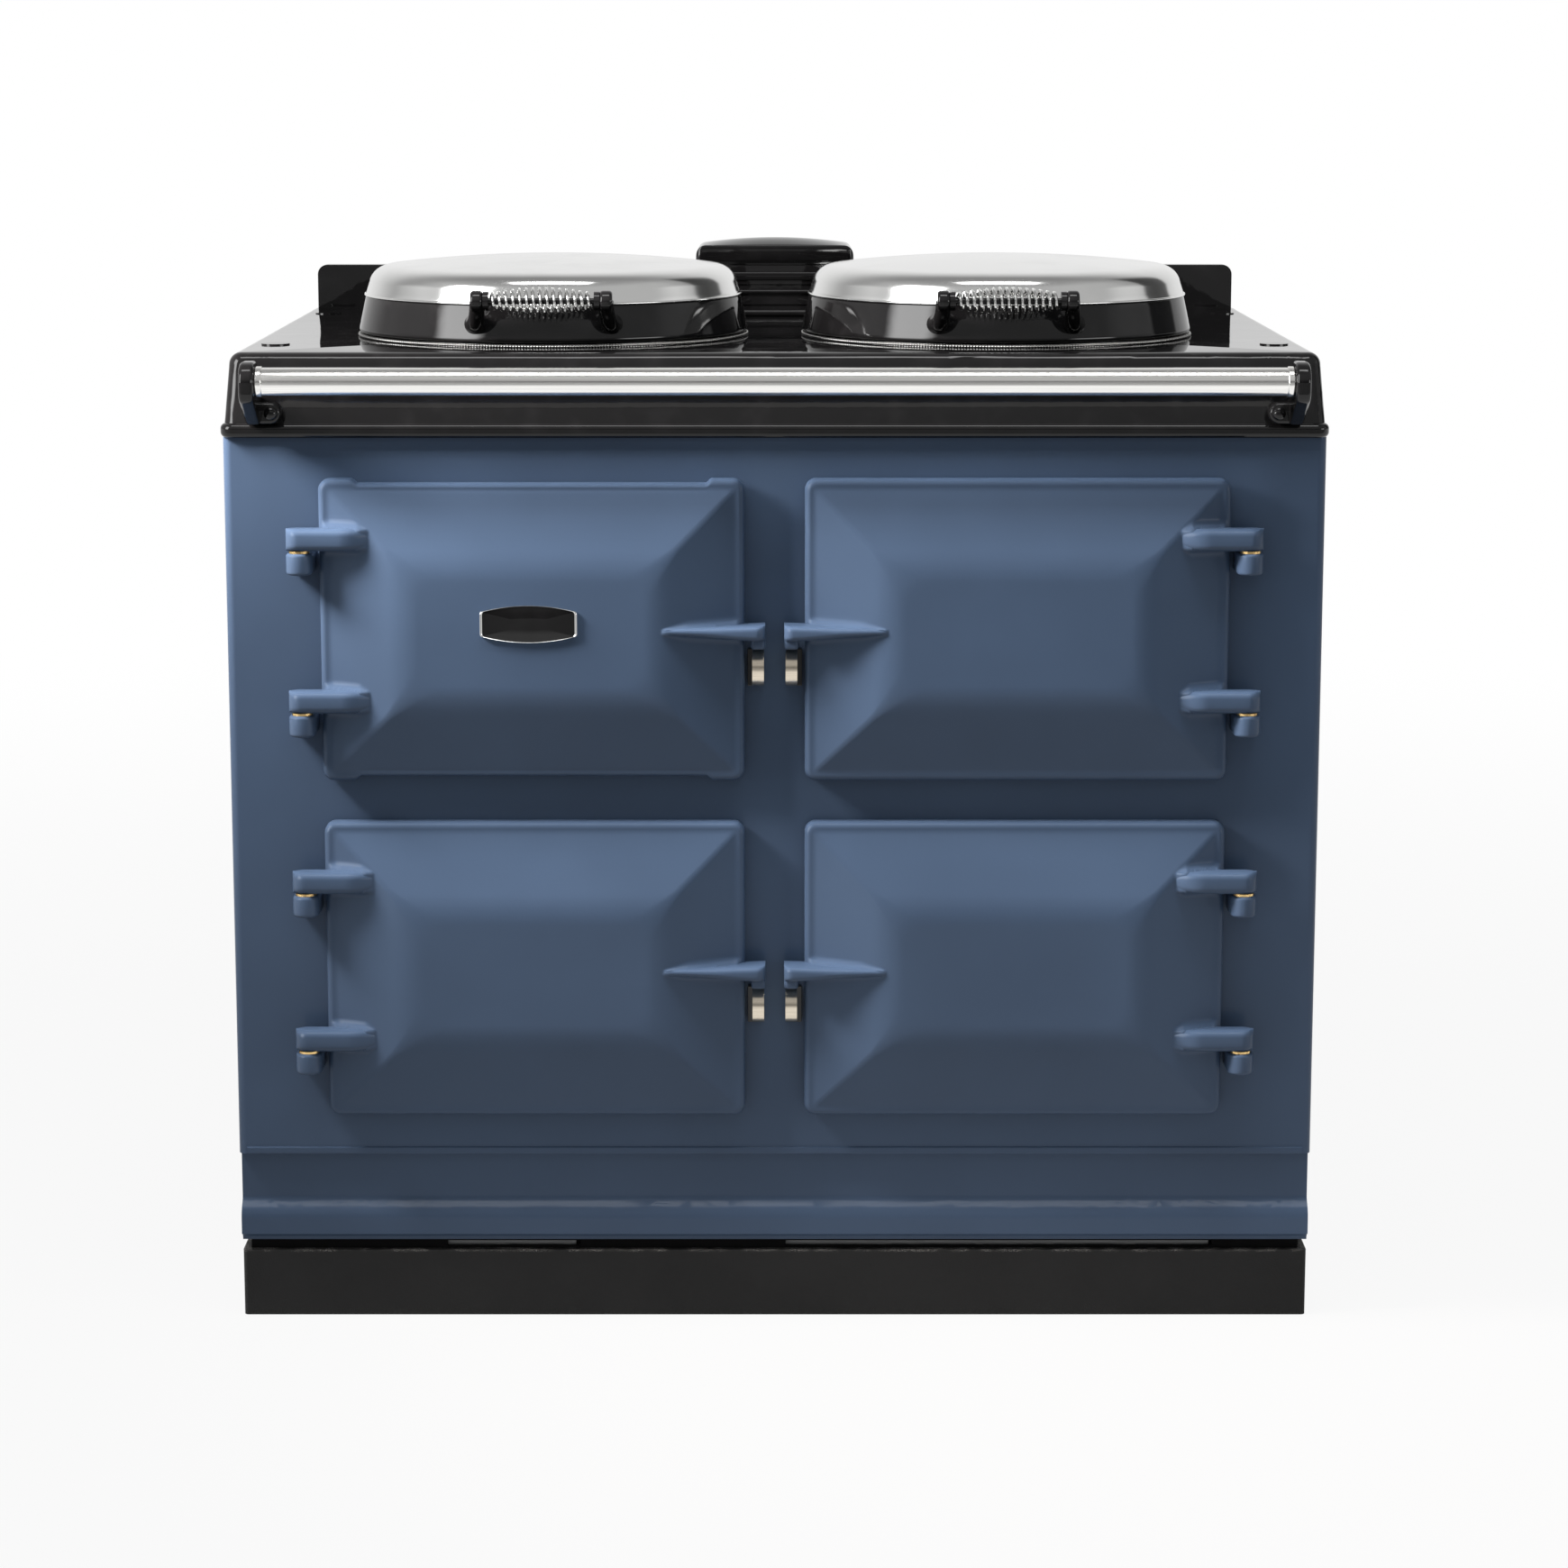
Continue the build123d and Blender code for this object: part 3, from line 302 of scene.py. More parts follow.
def plinth_finish(shade, top):
    """Matt black paint with a leathery grain, with pale specks along its top edge."""
    f = material("plinth_paint")
    grain = f.cells(650.0) * 0.7 + f.noise(1500.0) * 0.3
    height = f.axes()[2]
    specks = f.noise(1400.0, detail=1.0).ramp(0.56, 0.66) * f.noise(60.0).ramp(0.35, 0.6)
    # Pale specks only in the top 2.2 mm of the plinth
    pale_top_specks = height.ramp(top - 0.0022, top - 0.0006) * specks
    cloud = f.noise(9.0, detail=4.0)
    paint = f.mix(cloud.ramp(0.3, 0.7), tint(shade, 0.8), tint(shade, 1.35))
    base = f.mix(pale_top_specks, paint, (0.42, 0.41, 0.39, 1.0))
    return f.surface(Base_Color=base, Roughness=0.50 + cloud * 0.16, Normal=f.bump(grain, 0.0005, 0.45),
                     Specular_IOR_Level=0.2)


def chrome_finish(name, shade, gloss=0.05):
    """Polished plate with a faint haze of fine scratches."""
    f = material(name)
    haze = f.noise(700.0, (1.0, 1.0, 0.12), detail=2.0)
    wear = f.noise(18.0, detail=3.0).ramp(0.4, 0.7)
    base = f.mix(wear, tint(shade, 1.0), tint(shade, 0.94))
    return f.surface(Base_Color=base, Metallic=1.0, Roughness=gloss + wear * 0.03 + haze * 0.02,
                     Normal=f.bump(haze, 0.00003, 0.25))


def brushed_finish(name, shade, stretch, rough=0.20):
    """Brushed metal: fine streaks, long along the axis whose stretch is least."""
    f = material(name)
    streaks = f.noise(1.0, stretch, detail=4.0, roughness=0.7)
    base = f.mix(streaks.ramp(0.3, 0.7), tint(shade, 0.90), tint(shade, 1.06))
    return f.surface(Base_Color=base, Metallic=1.0, Roughness=rough + streaks * 0.14,
                     Normal=f.bump(streaks, 0.00005, 0.35))


def turned_finish(name, shade, centre, metallic, rough, pitch):
    """Lathe-turned metal: rings round the middle of each of a mirrored pair of discs."""
    f = material(name)
    x, y, _ = f.axes()
    across = x.size() - abs(centre.x)
    along = y - centre.y
    radius = (across * across + along * along).root()
    rings = (radius * (TAU / pitch)).wave() * 0.5 + 0.5
    pores = f.noise(420.0, detail=3.0)
    stain = f.noise(11.0, detail=5.0).ramp(0.35, 0.7)
    base = f.mix(stain, tint(shade, 1.15), tint(shade, 0.7))
    return f.surface(Base_Color=base, Metallic=metallic, Roughness=rough + stain * 0.15,
                     Normal=f.bump(rings * 0.6 + pores * 0.4, 0.00008, 0.6))


def oven_finish(shade):
    """Oven castings: charcoal enamel with pale specks over a sandy casting skin."""
    f = material("oven_enamel")
    specks = 1.0 - f.cells(520.0).ramp(0.10, 0.22)
    skin = f.noise(300.0, detail=4.0)
    base = f.mix(specks * f.noise(80.0).ramp(0.5, 0.7), tint(shade, 0.6), (0.35, 0.35, 0.36, 1.0))
    return f.surface(Base_Color=base, Roughness=0.36 + skin * 0.2, Normal=f.bump(skin, 0.0004, 0.4))


def zinc_finish(name, shade):
    """Zinc-coated sheet: crystals that catch the light a little differently."""
    f = material(name)
    crystal = f.cells(110.0, output="Color")
    level = f.node("ShaderNodeSeparateColor", sockets={"Color": crystal})
    base = f.mix(level, tint(shade, 0.92), tint(shade, 1.06))
    return f.surface(Base_Color=base, Metallic=0.9, Roughness=0.34 + level * 0.18,
                     Normal=f.bump(f.noise(260.0), 0.0001, 0.3))


def brass_finish(shade):
    """Brass, browned in patches."""
    f = material("brass")
    brown = f.noise(160.0, detail=4.0).ramp(0.45, 0.75)
    base = f.mix(brown, tint(shade, 1.0), (0.30, 0.18, 0.07, 1.0))
    return f.surface(Base_Color=base, Metallic=1.0, Roughness=0.22 + brown * 0.25)


def woven_finish(name, shade, threads):
    """A tight weave of cord: crossing threads, as heights and as shade."""
    f = material(name)
    x, y, z = f.axes()
    over = ((x + z) * threads).wave() * 0.5 + 0.5
    under = ((x - z) * threads + y * threads).wave() * 0.5 + 0.5
    weave = over * under
    fuzz = f.noise(1200.0, detail=3.0)
    base = f.mix(weave * 0.7 + fuzz * 0.3, tint(shade, 0.45), tint(shade, 1.5))
    return f.surface(Base_Color=base, Roughness=0.92, Normal=f.bump(weave * 0.8 + fuzz * 0.2, 0.0008, 0.8))


def wool_finish(shade):
    """Mineral wool: matted fibres, paler where they stand up."""
    f = material("lagging")
    mat = f.noise(60.0, (1.0, 1.0, 3.0), detail=8.0, roughness=0.75)
    base = f.mix(mat.ramp(0.3, 0.7), tint(shade, 0.65), tint(shade, 1.25))
    return f.surface(Base_Color=base, Roughness=0.95, Normal=f.bump(mat, 0.004, 0.9))


def plastic_finish(shade):
    """Moulded plastic with a fine spark-eroded texture."""
    f = material("knob_plastic")
    spark = f.noise(1600.0, detail=2.0)
    touched = f.noise(45.0).ramp(0.4, 0.7)
    base = f.mix(touched, tint(shade, 0.9), tint(shade, 1.6))
    return f.surface(Base_Color=base, Roughness=0.46 - touched * 0.12, Normal=f.bump(spark, 0.0001, 0.5))


def element_finish():
    """Oxidised heater sheath, with straw and blue heat tints."""
    f = material("element")
    heat = f.noise(24.0, detail=3.0)
    base = f.mix(heat.ramp(0.4, 0.65), (0.09, 0.075, 0.06, 1.0), (0.06, 0.07, 0.10, 1.0))
    return f.surface(Base_Color=base, Metallic=0.7, Roughness=0.40 + heat * 0.2)


def paint_finish():
    """White printed marks, thinner in places."""
    f = material("marking")
    thin = f.noise(900.0, detail=2.0)
    base = f.mix(thin.ramp(0.4, 0.7), (0.72, 0.72, 0.70, 1.0), (0.55, 0.55, 0.54, 1.0))
    return f.surface(Base_Color=base, Roughness=0.5 + thin * 0.1)


def make_finishes(c):
    """Every finish by its slot in the record, with a few more for trims."""
    hotplate = middle("hotplate_right")
    return {
        "blue_enamel": enamel_finish(c.enamel),
        "black_enamel": black_finish(c.black),
        "plinth_paint": plinth_finish(c.plinth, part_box("plinth")[1].z),
        "chrome": chrome_finish("chrome", c.chrome),
        "dome_chrome": chrome_finish("dome_chrome", c.chrome, 0.10),
        # Painted shade: the beads under the lid bases are the stainless darkened to 0.6
        "shaded_bead_steel": chrome_finish("shaded_bead_steel", tint(c.stainless, 0.6)[:3], 0.16),
        # Painted shade: the plates inside the tray's slots are the sheet steel at a fifth of its colour
        "shaded_slot_steel": zinc_finish("shaded_slot_steel", tint(c.steel, 0.22)[:3]),
        "cast_iron": turned_finish("cast_iron", c.iron, hotplate, 0.55, 0.38, 0.0016),
        "oven": oven_finish(c.iron),
        "sheet_steel": zinc_finish("sheet_steel", c.steel),
        "stainless": brushed_finish("stainless", c.stainless, (4.0, 900.0, 900.0)),
        "nickel": brushed_finish("nickel", c.nickel, (20.0, 1500.0, 1500.0), 0.16),
        "brass": brass_finish(c.brass),
        "rope_seal": woven_finish("rope_seal", c.rope, 1100.0),
        "lagging": wool_finish(c.lagging),
        "knob_plastic": plastic_finish(c.plastic),
        "aluminium": turned_finish("aluminium", c.aluminium, hotplate, 1.0, 0.28, 0.0011),
        # Painted sheen: the rail is the stainless made 1.36 times brighter
        "rail": brushed_finish("rail", tint(c.stainless, 1.36)[:3], (3.0, 700.0, 700.0), 0.13),
        "plaque": black_finish(c.black),
        "painted_shade": painted_shade_finish(c.black),
        "marking": paint_finish(),
        "element": element_finish(),
    }


FINISHES = {}


class Shell:
    """Grids of points gathered into one mesh."""

    def __init__(self):
        self.points = []
        self.faces = []
        self.total = 0

    def store(self, points):
        """Keeps points and gives the number of the first."""
        first = self.total
        flat = np.reshape(points, (-1, 3))
        self.points.append(flat)
        self.total += len(flat)
        return first

    def grid(self, points, wrap_rows=False, wrap_columns=False):
        """Quads between each point of a grid and its neighbours in the next row and column."""
        rows, columns = points.shape[:2]
        first = self.store(points)
        i = np.arange(rows if wrap_rows else rows - 1)[:, None]
        j = np.arange(columns if wrap_columns else columns - 1)[None, :]
        below = (i + 1) % rows
        right = (j + 1) % columns
        quads = [i * columns + j, i * columns + right, below * columns + right, below * columns + j]
        self.faces += (first + np.stack(np.broadcast_arrays(*quads), -1).reshape(-1, 4)).tolist()
        return self

    def cap(self, ring):
        """Triangles from a ring of points to its middle."""
        count = len(ring)
        first = self.store(np.vstack([ring, ring.mean(0)]))
        i = np.arange(count)
        self.faces += (first + np.stack([i, (i + 1) % count, np.full(count, count)], -1)).tolist()
        return self

    def bar(self, rows):
        """A closed bar through rings of points: a grid with both ends capped."""
        return self.grid(rows, wrap_columns=True).cap(rows[0]).cap(rows[-1])

    def mesh(self, name, sharp):
        """The mesh, with doubles merged, normals outward and edges over the sharp angle kept crisp."""
        mesh = bpy.data.meshes.new(name)
        mesh.from_pydata(np.vstack(self.points).tolist(), [], self.faces)
        work = bmesh.new()
        work.from_mesh(mesh)
        bmesh.ops.remove_doubles(work, verts=work.verts, dist=2e-6)
        bmesh.ops.dissolve_degenerate(work, edges=work.edges, dist=1e-7)
        bmesh.ops.recalc_face_normals(work, faces=work.faces)
        work.to_mesh(mesh)
        work.free()
        mesh.shade_smooth()
        mesh.set_sharp_from_angle(angle=math.radians(sharp))
        return mesh


def add_piece(name, shell, body, slot, finish=None, replaces=(), sharp=35):
    """Puts a shell into the scene on its body, in its finish."""
    piece = bpy.data.objects.new(name, shell.mesh(name, sharp))
    bpy.context.scene.collection.objects.link(piece)
    piece.data.materials.append(FINISHES[finish or slot])
    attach(piece, body)
    if replaces:
        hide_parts(*replaces)
    return piece


def span(sign, near, far, centre=0.0):
    """Two places on one side of a centre, the lower one first."""
    return sorted((centre + sign * near, centre + sign * far))


def unit(vectors):
    """Vectors made one long."""
    return vectors / np.maximum(np.linalg.norm(vectors, axis=-1, keepdims=True), 1e-12)


def smooth(t):
    """An eased step: 3t^2 - 2t^3 between 0 and 1, level outside."""
    t = np.clip(t, 0, 1)
    return t * t * (3 - 2 * t)


def ease(d, start, end):
    """A ramp that bends from level to a slope of 1 between start and end: the slope's integral."""
    t = np.clip((d - start) / (end - start), 0, 1)
    return (end - start) * t * t / 2 + np.maximum(d - end, 0)


def rounded(corners, radii, steps=8):
    """A closed outline with each corner cut by a tangent arc.

    In a corner that opens by the angle a, an arc of radius r has its centre r / sin(a / 2) from the
    corner on the halving line, and touches the sides r / tan(a / 2) away.
    """
    spot = np.asarray(corners, float)
    radius = np.broadcast_to(np.asarray(radii, float), len(spot))[:, None]
    back = unit(np.roll(spot, 1, 0) - spot)
    ahead = unit(np.roll(spot, -1, 0) - spot)
    half = np.arccos(np.clip((back * ahead).sum(1), -1, 1))[:, None] / 2
    centre = spot + unit(back + ahead) * radius / np.sin(half)
    first = (spot + back * radius / np.tan(half) - centre)[:, None]
    last = (spot + ahead * radius / np.tan(half) - centre)[:, None]
    sweep = (np.pi - 2 * half)[:, None]
    t = np.linspace(0, 1, steps)[None, :, None]
    blend = np.sin((1 - t) * sweep) * first + np.sin(t * sweep) * last
    points = centre[:, None] + blend / np.maximum(np.sin(sweep), 1e-9)
    return points.reshape(-1, 2)


def fill_in(outline, step):
    """A closed outline with more points on its straight runs, at most step apart, and no doubles."""
    line = np.vstack([outline, outline[:1]])
    run = np.r_[0, np.cumsum(np.linalg.norm(np.diff(line, axis=0), axis=1))]
    marks = np.r_[run, np.arange(0, run[-1], step)]
    marks = np.unique(np.round(marks, 7))[:-1]
    return np.stack([np.interp(marks, run, column) for column in line.T], -1)


def inward(outline):
    """Unit normals that point into a closed outline: its tangents turned by a quarter."""
    tangent = np.roll(outline, -1, 0) - np.roll(outline, 1, 0)
    area = np.sum(outline[:, 0] * np.roll(outline[:, 1], -1) - np.roll(outline[:, 0], -1) * outline[:, 1])
    return unit(np.stack([-tangent[:, 1], tangent[:, 0]], -1)) * np.sign(area)


def slab(shell, outline, low, high, edge, place, steps=5):
    """A plate with rounded edges: an outline carried from low to high, drawn in along quarter circles.

    At the angle t the outline is drawn in by edge * (1 - sin t), edge * (1 - cos t) from either face.
    """
    t = np.linspace(0, np.pi / 2, steps)
    inset = edge * (1 - np.sin(t))
    rise = edge * (1 - np.cos(t))
    inset = np.r_[inset, inset[::-1]]
    level = np.r_[low + rise, (high - rise)[::-1]]
    flat = outline[None] + inward(outline)[None] * inset[:, None, None]
    height = np.broadcast_to(level[:, None], flat.shape[:2])
    return shell.bar(place(flat[..., 0], flat[..., 1], height))


def along_x(a, b, h):
    """Outline in Y and Z, carried along X."""
    return np.stack([h, a, b], -1)


def along_y(a, b, h):
    """Outline in X and Z, carried along Y."""
    return np.stack([a, h, b], -1)


def along_z(a, b, h):
    """Outline in X and Y, carried along Z."""
    return np.stack([a, b, h], -1)


def block(shell, low, high, corner, edge, place=along_z):
    """A rounded box between two corners: a rounded rectangle carried along one axis as a slab."""
    keep = {along_x: (1, 2, 0), along_y: (0, 2, 1), along_z: (0, 1, 2)}[place]
    (a0, b0, h0), (a1, b1, h1) = ([point[i] for i in keep] for point in (low, high))
    outline = fill_in(rounded([(a0, b0), (a1, b0), (a1, b1), (a0, b1)], corner, 6), 0.02)
    return slab(shell, outline, h0, h1, edge, place)


def revolve(shell, profile, centre, count=144, closed=True, place=along_z):
    """A profile of radii and heights turned round an axis: (r cos t, r sin t, h)."""
    turn = np.linspace(0, TAU, count, endpoint=False)[None, :]
    radius, height = profile[:, :1], profile[:, 1:]
    a = centre[0] + radius * np.cos(turn)
    b = centre[1] + radius * np.sin(turn)
    return shell.grid(place(a, b, np.broadcast_to(height, a.shape)), closed, True)


def tube(shell, path, radius, up, sides=10):
    """A closed bar of round sections along a path; up fixes how each section is turned."""
    tangent = unit(np.gradient(path, axis=0))
    up = np.broadcast_to(np.asarray(up, float), path.shape)
    across = unit(up - (up * tangent).sum(1, keepdims=True) * tangent)
    other = np.cross(tangent, across)
    turn = np.linspace(0, TAU, sides, endpoint=False)[None, :, None]
    size = np.broadcast_to(np.asarray(radius, float), len(path))[:, None, None]
    ring = size * (np.cos(turn) * across[:, None] + np.sin(turn) * other[:, None])
    return shell.bar(path[:, None] + ring)


def arc_path(start, first, second, end, count):
    """Points on a cubic curve with two handles."""
    t = np.linspace(0, 1, count)[:, None]
    points = [np.asarray(p, float) for p in (start, first, second, end)]
    weights = [(1 - t) ** 3, 3 * t * (1 - t) ** 2, 3 * t * t * (1 - t), t ** 3]
    return sum(w * p for w, p in zip(weights, points))


def border_rings(half_u, half_w, radius, along, steps):
    """Rounded rectangles, one to a row: four corner arcs and the straight runs between them."""
    turn = np.radians(np.linspace(0, 90, steps) + QUARTERS)
    sign = np.array([[1, 1], [-1, 1], [-1, -1], [1, -1]])
    half_u, half_w, radius = (np.asarray(v, float)[:, None, None] for v in (half_u, half_w, radius))
    u = sign[:, :1] * (half_u - radius) + radius * np.cos(turn)
    w = sign[:, 1:] * (half_w - radius) + radius * np.sin(turn)
    arcs = np.stack([u, w], -1)
    runs = []
    for side in range(4):
        t = np.linspace(0, 1, along[side % 2], endpoint=False)[1:, None]
        start, end = arcs[:, side, -1:], arcs[:, (side + 1) % 4, :1]
        runs += [arcs[:, side], start + (end - start) * t]
    return np.concatenate(runs, 1)


def door_front(s, d):
    """How far a door's front stands before its back, at the distance d from its edge.

    A quarter round of the edge radius, a flat border, then a slope that bends in and out softly and
    ends level on the plateau.
    """
    in_edge = s.door_edge - np.minimum(d, s.door_edge)
    round_off = s.door_edge - np.sqrt(np.maximum(s.door_edge ** 2 - in_edge ** 2, 0))
    bend = (s.door_border, s.door_border + 0.005)
    level = (s.plateau_start, s.plateau_end)
    rise = ease(d, *bend) - ease(d, *level)
    return s.door_rim - round_off + s.plateau_rise * rise / (sum(level) / 2 - sum(bend) / 2)


def arm_lines(s, u, hinge_u, hinge_f):
    """Front, back and half height of a hinge arm along u: a rising nose, a straight run, a round tip."""
    nose = np.clip((u - ARM_ROOT) / ARM_NOSE, 0, 1)
    front = hinge_f + s.hinge_radius - 0.0155 * (1 - np.sin(nose * np.pi / 2))
    tip = np.sqrt(np.maximum(s.hinge_radius ** 2 - np.maximum(u - hinge_u, 0) ** 2, 0))
    front = np.where(u > hinge_u, hinge_f + tip, front)
    back = hinge_f - tip
    half = s.arm_height / 2 * (0.80 + 0.20 * np.sin(nose * np.pi / 2))
    return front, back, half


def lug_lines(s, u, tip_u, plateau):
    """Front, back, middle and half height of a latch lug along u, from a rounded root to its tip."""
    t = np.clip((u - LUG_ROOT) / (tip_u - LUG_ROOT), 0, 1)
    out = np.clip((u - (tip_u - LUG_CORNER)) / LUG_CORNER, 0, 1)
    front = plateau - 0.004 * (1 - np.sin(np.clip(t / 0.10, 0, 1) * np.pi / 2))
    front = front - LUG_CORNER * (1 - np.sqrt(1 - out ** 2))
    back = 0.006 + 0.012 * smooth((0.184 - u) / 0.014)
    half = (s.lug_root + (s.lug_tip - s.lug_root) * smooth(t * 0.92 + 0.04)) / 2
    top = 0.0042 + 0.0030 * t
    return front, back, top - half, half


def bar_between(shell, u, front, back, centre, half, corner, place):
    """A bar along u whose sections are rounded rectangles between back and front."""
    flat = (front - back) / 2
    radius = np.minimum(np.minimum(corner, flat * 0.96), half * 0.96)
    steps = 7
    turn = np.radians(np.linspace(0, 90, steps) + QUARTERS).ravel()
    halfway = np.radians(QUARTERS.ravel() + 45).repeat(steps)
    sign_f, sign_w = np.sign(np.cos(halfway)), np.sign(np.sin(halfway))
    f = (front + back)[:, None] / 2 + sign_f * (flat - radius)[:, None] + radius[:, None] * np.cos(turn)
    w = centre[:, None] + sign_w * (half - radius)[:, None] + radius[:, None] * np.sin(turn)
    return shell.bar(place(np.broadcast_to(u[:, None], f.shape), w, f))


def hollow(gap, radius, depth):
    """Height that a fillet of the given radius adds beside a wall, at the distance gap from it."""
    radius = np.minimum(radius, np.maximum(depth, 0))
    reach = np.clip(radius - gap, 0, radius)
    return radius - np.sqrt(np.maximum(radius ** 2 - reach ** 2, 0))


class COOKER_OT_doors(bpy.types.Operator):
    """Casts the four doors: pillow fronts with hinge arms, latch lugs and the vented door's notches"""

    bl_idname = "cooker.doors"
    bl_label = "Doors"

    def execute(self, context):
        for name, sign in DOORS.items():
            self.cast_door(context.scene.cooker_sizes, name, sign)
        return {"FINISHED"}

    def cast_door(self, s, name, sign):
        """One casting, in u outwards to its hinge, w upwards and f forwards from the door's back."""
        low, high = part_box(f"{name}_shell")
        centre = middle(f"{name}_liner")
        hinge = Vector(JOINTS[f"{name}_swing"]["pos_m"])
        hinge_u = abs(hinge.x - centre.x)
        hinge_f = high.y - hinge.y
        half_u, half_w = s.door_width / 2, (high.z - low.z) / 2
        plateau = s.door_rim + s.plateau_rise
        tip_u = abs(centre.x) - min(abs(low.x), abs(high.x))

        def place(u, w, f):
            """Points of the frame from u, w and f."""
            return np.stack([centre.x + sign * u, high.y - f, centre.z + w], -1)

        d = np.r_[s.door_edge * (1 - np.cos(np.linspace(0, np.pi / 2, 9))), np.arange(0.0065, 0.100, 0.0013)]
        edge_d = np.array([0.0, 0.0, 0.0015])
        edge_f = np.array([s.door_rim - s.door_edge - 0.004, 0.0015, 0.0])
        all_d = np.r_[d[::-1], edge_d, 0.030, 0.0302]
        corner = np.interp(all_d, [0, 0.008, 0.060, 0.085, 0.100],
                           [s.door_corner, 0.0035, 0.005, 0.018, 0.022])
        flat = border_rings(half_u - all_d, half_w - all_d, corner, (150, 110), 9)
        u, w = flat[..., 0], flat[..., 1]
        f = np.r_[door_front(s, d[::-1]), edge_f, 0.0, 0.014][:, None] + 0 * u
        face = slice(len(d))
        arms = arm_lines(s, u[face], hinge_u, hinge_f)
        lug = lug_lines(s, -u[face], tip_u, plateau)
        f[face] += self.coves(s, u[face], w[face], f[face], arms, lug)

        if name == VENTED_DOOR:
            reach = smooth((s.notch_length / 2 - np.abs(u)) / 0.004)
            fade = np.clip(1 - all_d / 0.012, 0, 1)[:, None]
            w = w - np.sign(w) * s.notch_depth * reach * fade

        shell = Shell().bar(place(u, w, f))
        u = np.r_[np.linspace(0.130, 0.172, 26), np.linspace(0.174, hinge_u, 14),
                  hinge_u + s.hinge_radius * np.sin(np.linspace(0.08, np.pi / 2, 16))]
        arm_front, arm_back, arm_half = arm_lines(s, u, hinge_u, hinge_f)
        arm_back = np.where(u < 0.170, np.maximum(arm_back, 0.0145), arm_back)
        for arm_w in (s.arm_upper, s.arm_lower):
            bar_between(shell, u, arm_front, arm_back, 0 * u + arm_w, arm_half, 0.0062, place)
        u = np.r_[np.linspace(0.110, tip_u - LUG_CORNER, 44),
                  tip_u - LUG_CORNER + LUG_CORNER * np.sin(np.linspace(0.1, np.pi / 2, 9))]
        lug_front, lug_back, lug_mid, lug_half = lug_lines(s, u, tip_u, plateau)
        bar_between(shell, -u, lug_front, lug_back, lug_mid, lug_half, 0.0045, place)
        self.web(shell, tip_u, plateau, place)
        add_piece(f"{name}_casting", shell, name, "blue_enamel", replaces=[f"{name}_shell"], sharp=50)

    def coves(self, s, u, w, front, arms, lug):
        """The swell of a door's face beside its arms and lug: a hollow along each that ends at the edge."""
        arm_front, _, arm_half = arms
        lug_front, _, lug_mid, lug_half = lug
        roots = [(arm_front, arm_w, arm_half, u > ARM_ROOT) for arm_w in (s.arm_upper, s.arm_lower)]
        roots.append((lug_front, lug_mid, lug_half, u < -LUG_ROOT))
        inside = smooth((s.door_width / 2 - 0.002 - np.abs(u)) / 0.006)
        swell = 0 * front
        for root_front, centre, half, beside in roots:
            lift = hollow(np.abs(w - centre) - half, s.cove, 0.85 * (root_front - front)) * inside
            swell = np.maximum(swell, np.where(beside, lift, 0))
        return swell

    def web(self, shell, tip_u, plateau, place):
        """The tab under the lug's tip that the catch strip holds: a rounded block."""
        root_u, front = tip_u - 0.0128, plateau - 0.009
        corners = [(root_u, 0.006), (tip_u, 0.006), (tip_u, front), (root_u, front)]
        outline = fill_in(rounded(corners, 0.0035), 0.004)
        slab(shell, outline, -0.0148, -0.002, 0.0022, lambda a, b, h: place(-a, h, b))


class COOKER_OT_plaque(bpy.types.Operator):
    """Makes the bare plaque on the vented door: a domed black field in a thin bright rim"""

    bl_idname = "cooker.plaque"
    bl_label = "Plaque"

    def execute(self, context):
        low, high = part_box("door_plaque")
        half_u, half_w = (high.x - low.x) / 2, (high.z - low.z) / 2
        centre = middle("door_plaque")
        # A barrel: z = b * (1 - 0.34 * (x / a)^2) along both long sides, with rounded corners
        x = np.linspace(-1, 1, 25)
        bow = 1 - 0.34 * x ** 2
        sides = np.vstack([np.stack([x, -bow], -1), np.stack([-x, bow], -1)]) * (half_u, half_w)
        radii = np.zeros(len(sides))
        radii[[0, 24, 25, 49]] = 0.0030
        outline = fill_in(rounded(sides, radii, 6), 0.002)

        def rows(shares, lifts):
            """Copies of the outline, each scaled by a share and lifted forwards."""
            flat = outline[None] * np.asarray(shares)[:, None, None]
            depth = high.y + 0.0004 - np.asarray(lifts)[:, None] + 0 * flat[..., 0]
            return np.stack([centre.x + flat[..., 0], depth, centre.z + flat[..., 1]], -1)

        edge = 0.945
        share = np.cos(np.linspace(0.02, 1.5, 10)) * edge
        dome = 0.0022 + 0.0016 * (1 - (share / edge) ** 2)
        field = Shell().bar(rows(np.r_[edge, share], np.r_[0.0, dome]))
        add_piece("plaque_field", field, VENTED_DOOR, "plaque", replaces=["door_plaque"], sharp=60)
        rim = np.array([(0.93, 0.0), (1.0, 0.0), (1.0, 0.0018), (0.992, 0.0028), (0.975, 0.0033),
                        (0.955, 0.0030), (0.94, 0.0021)])
        ring = Shell().grid(rows(rim[:, 0], rim[:, 1]), True, True)
        add_piece("plaque_rim", ring, VENTED_DOOR, "plaque", "chrome", sharp=60)
        return {"FINISHED"}


def disc(centre, radius, count=48):
    """Points round a circle."""
    t = np.linspace(0, TAU, count, endpoint=False)
    return np.stack([centre[0] + radius * np.cos(t), centre[1] + radius * np.sin(t)], -1)


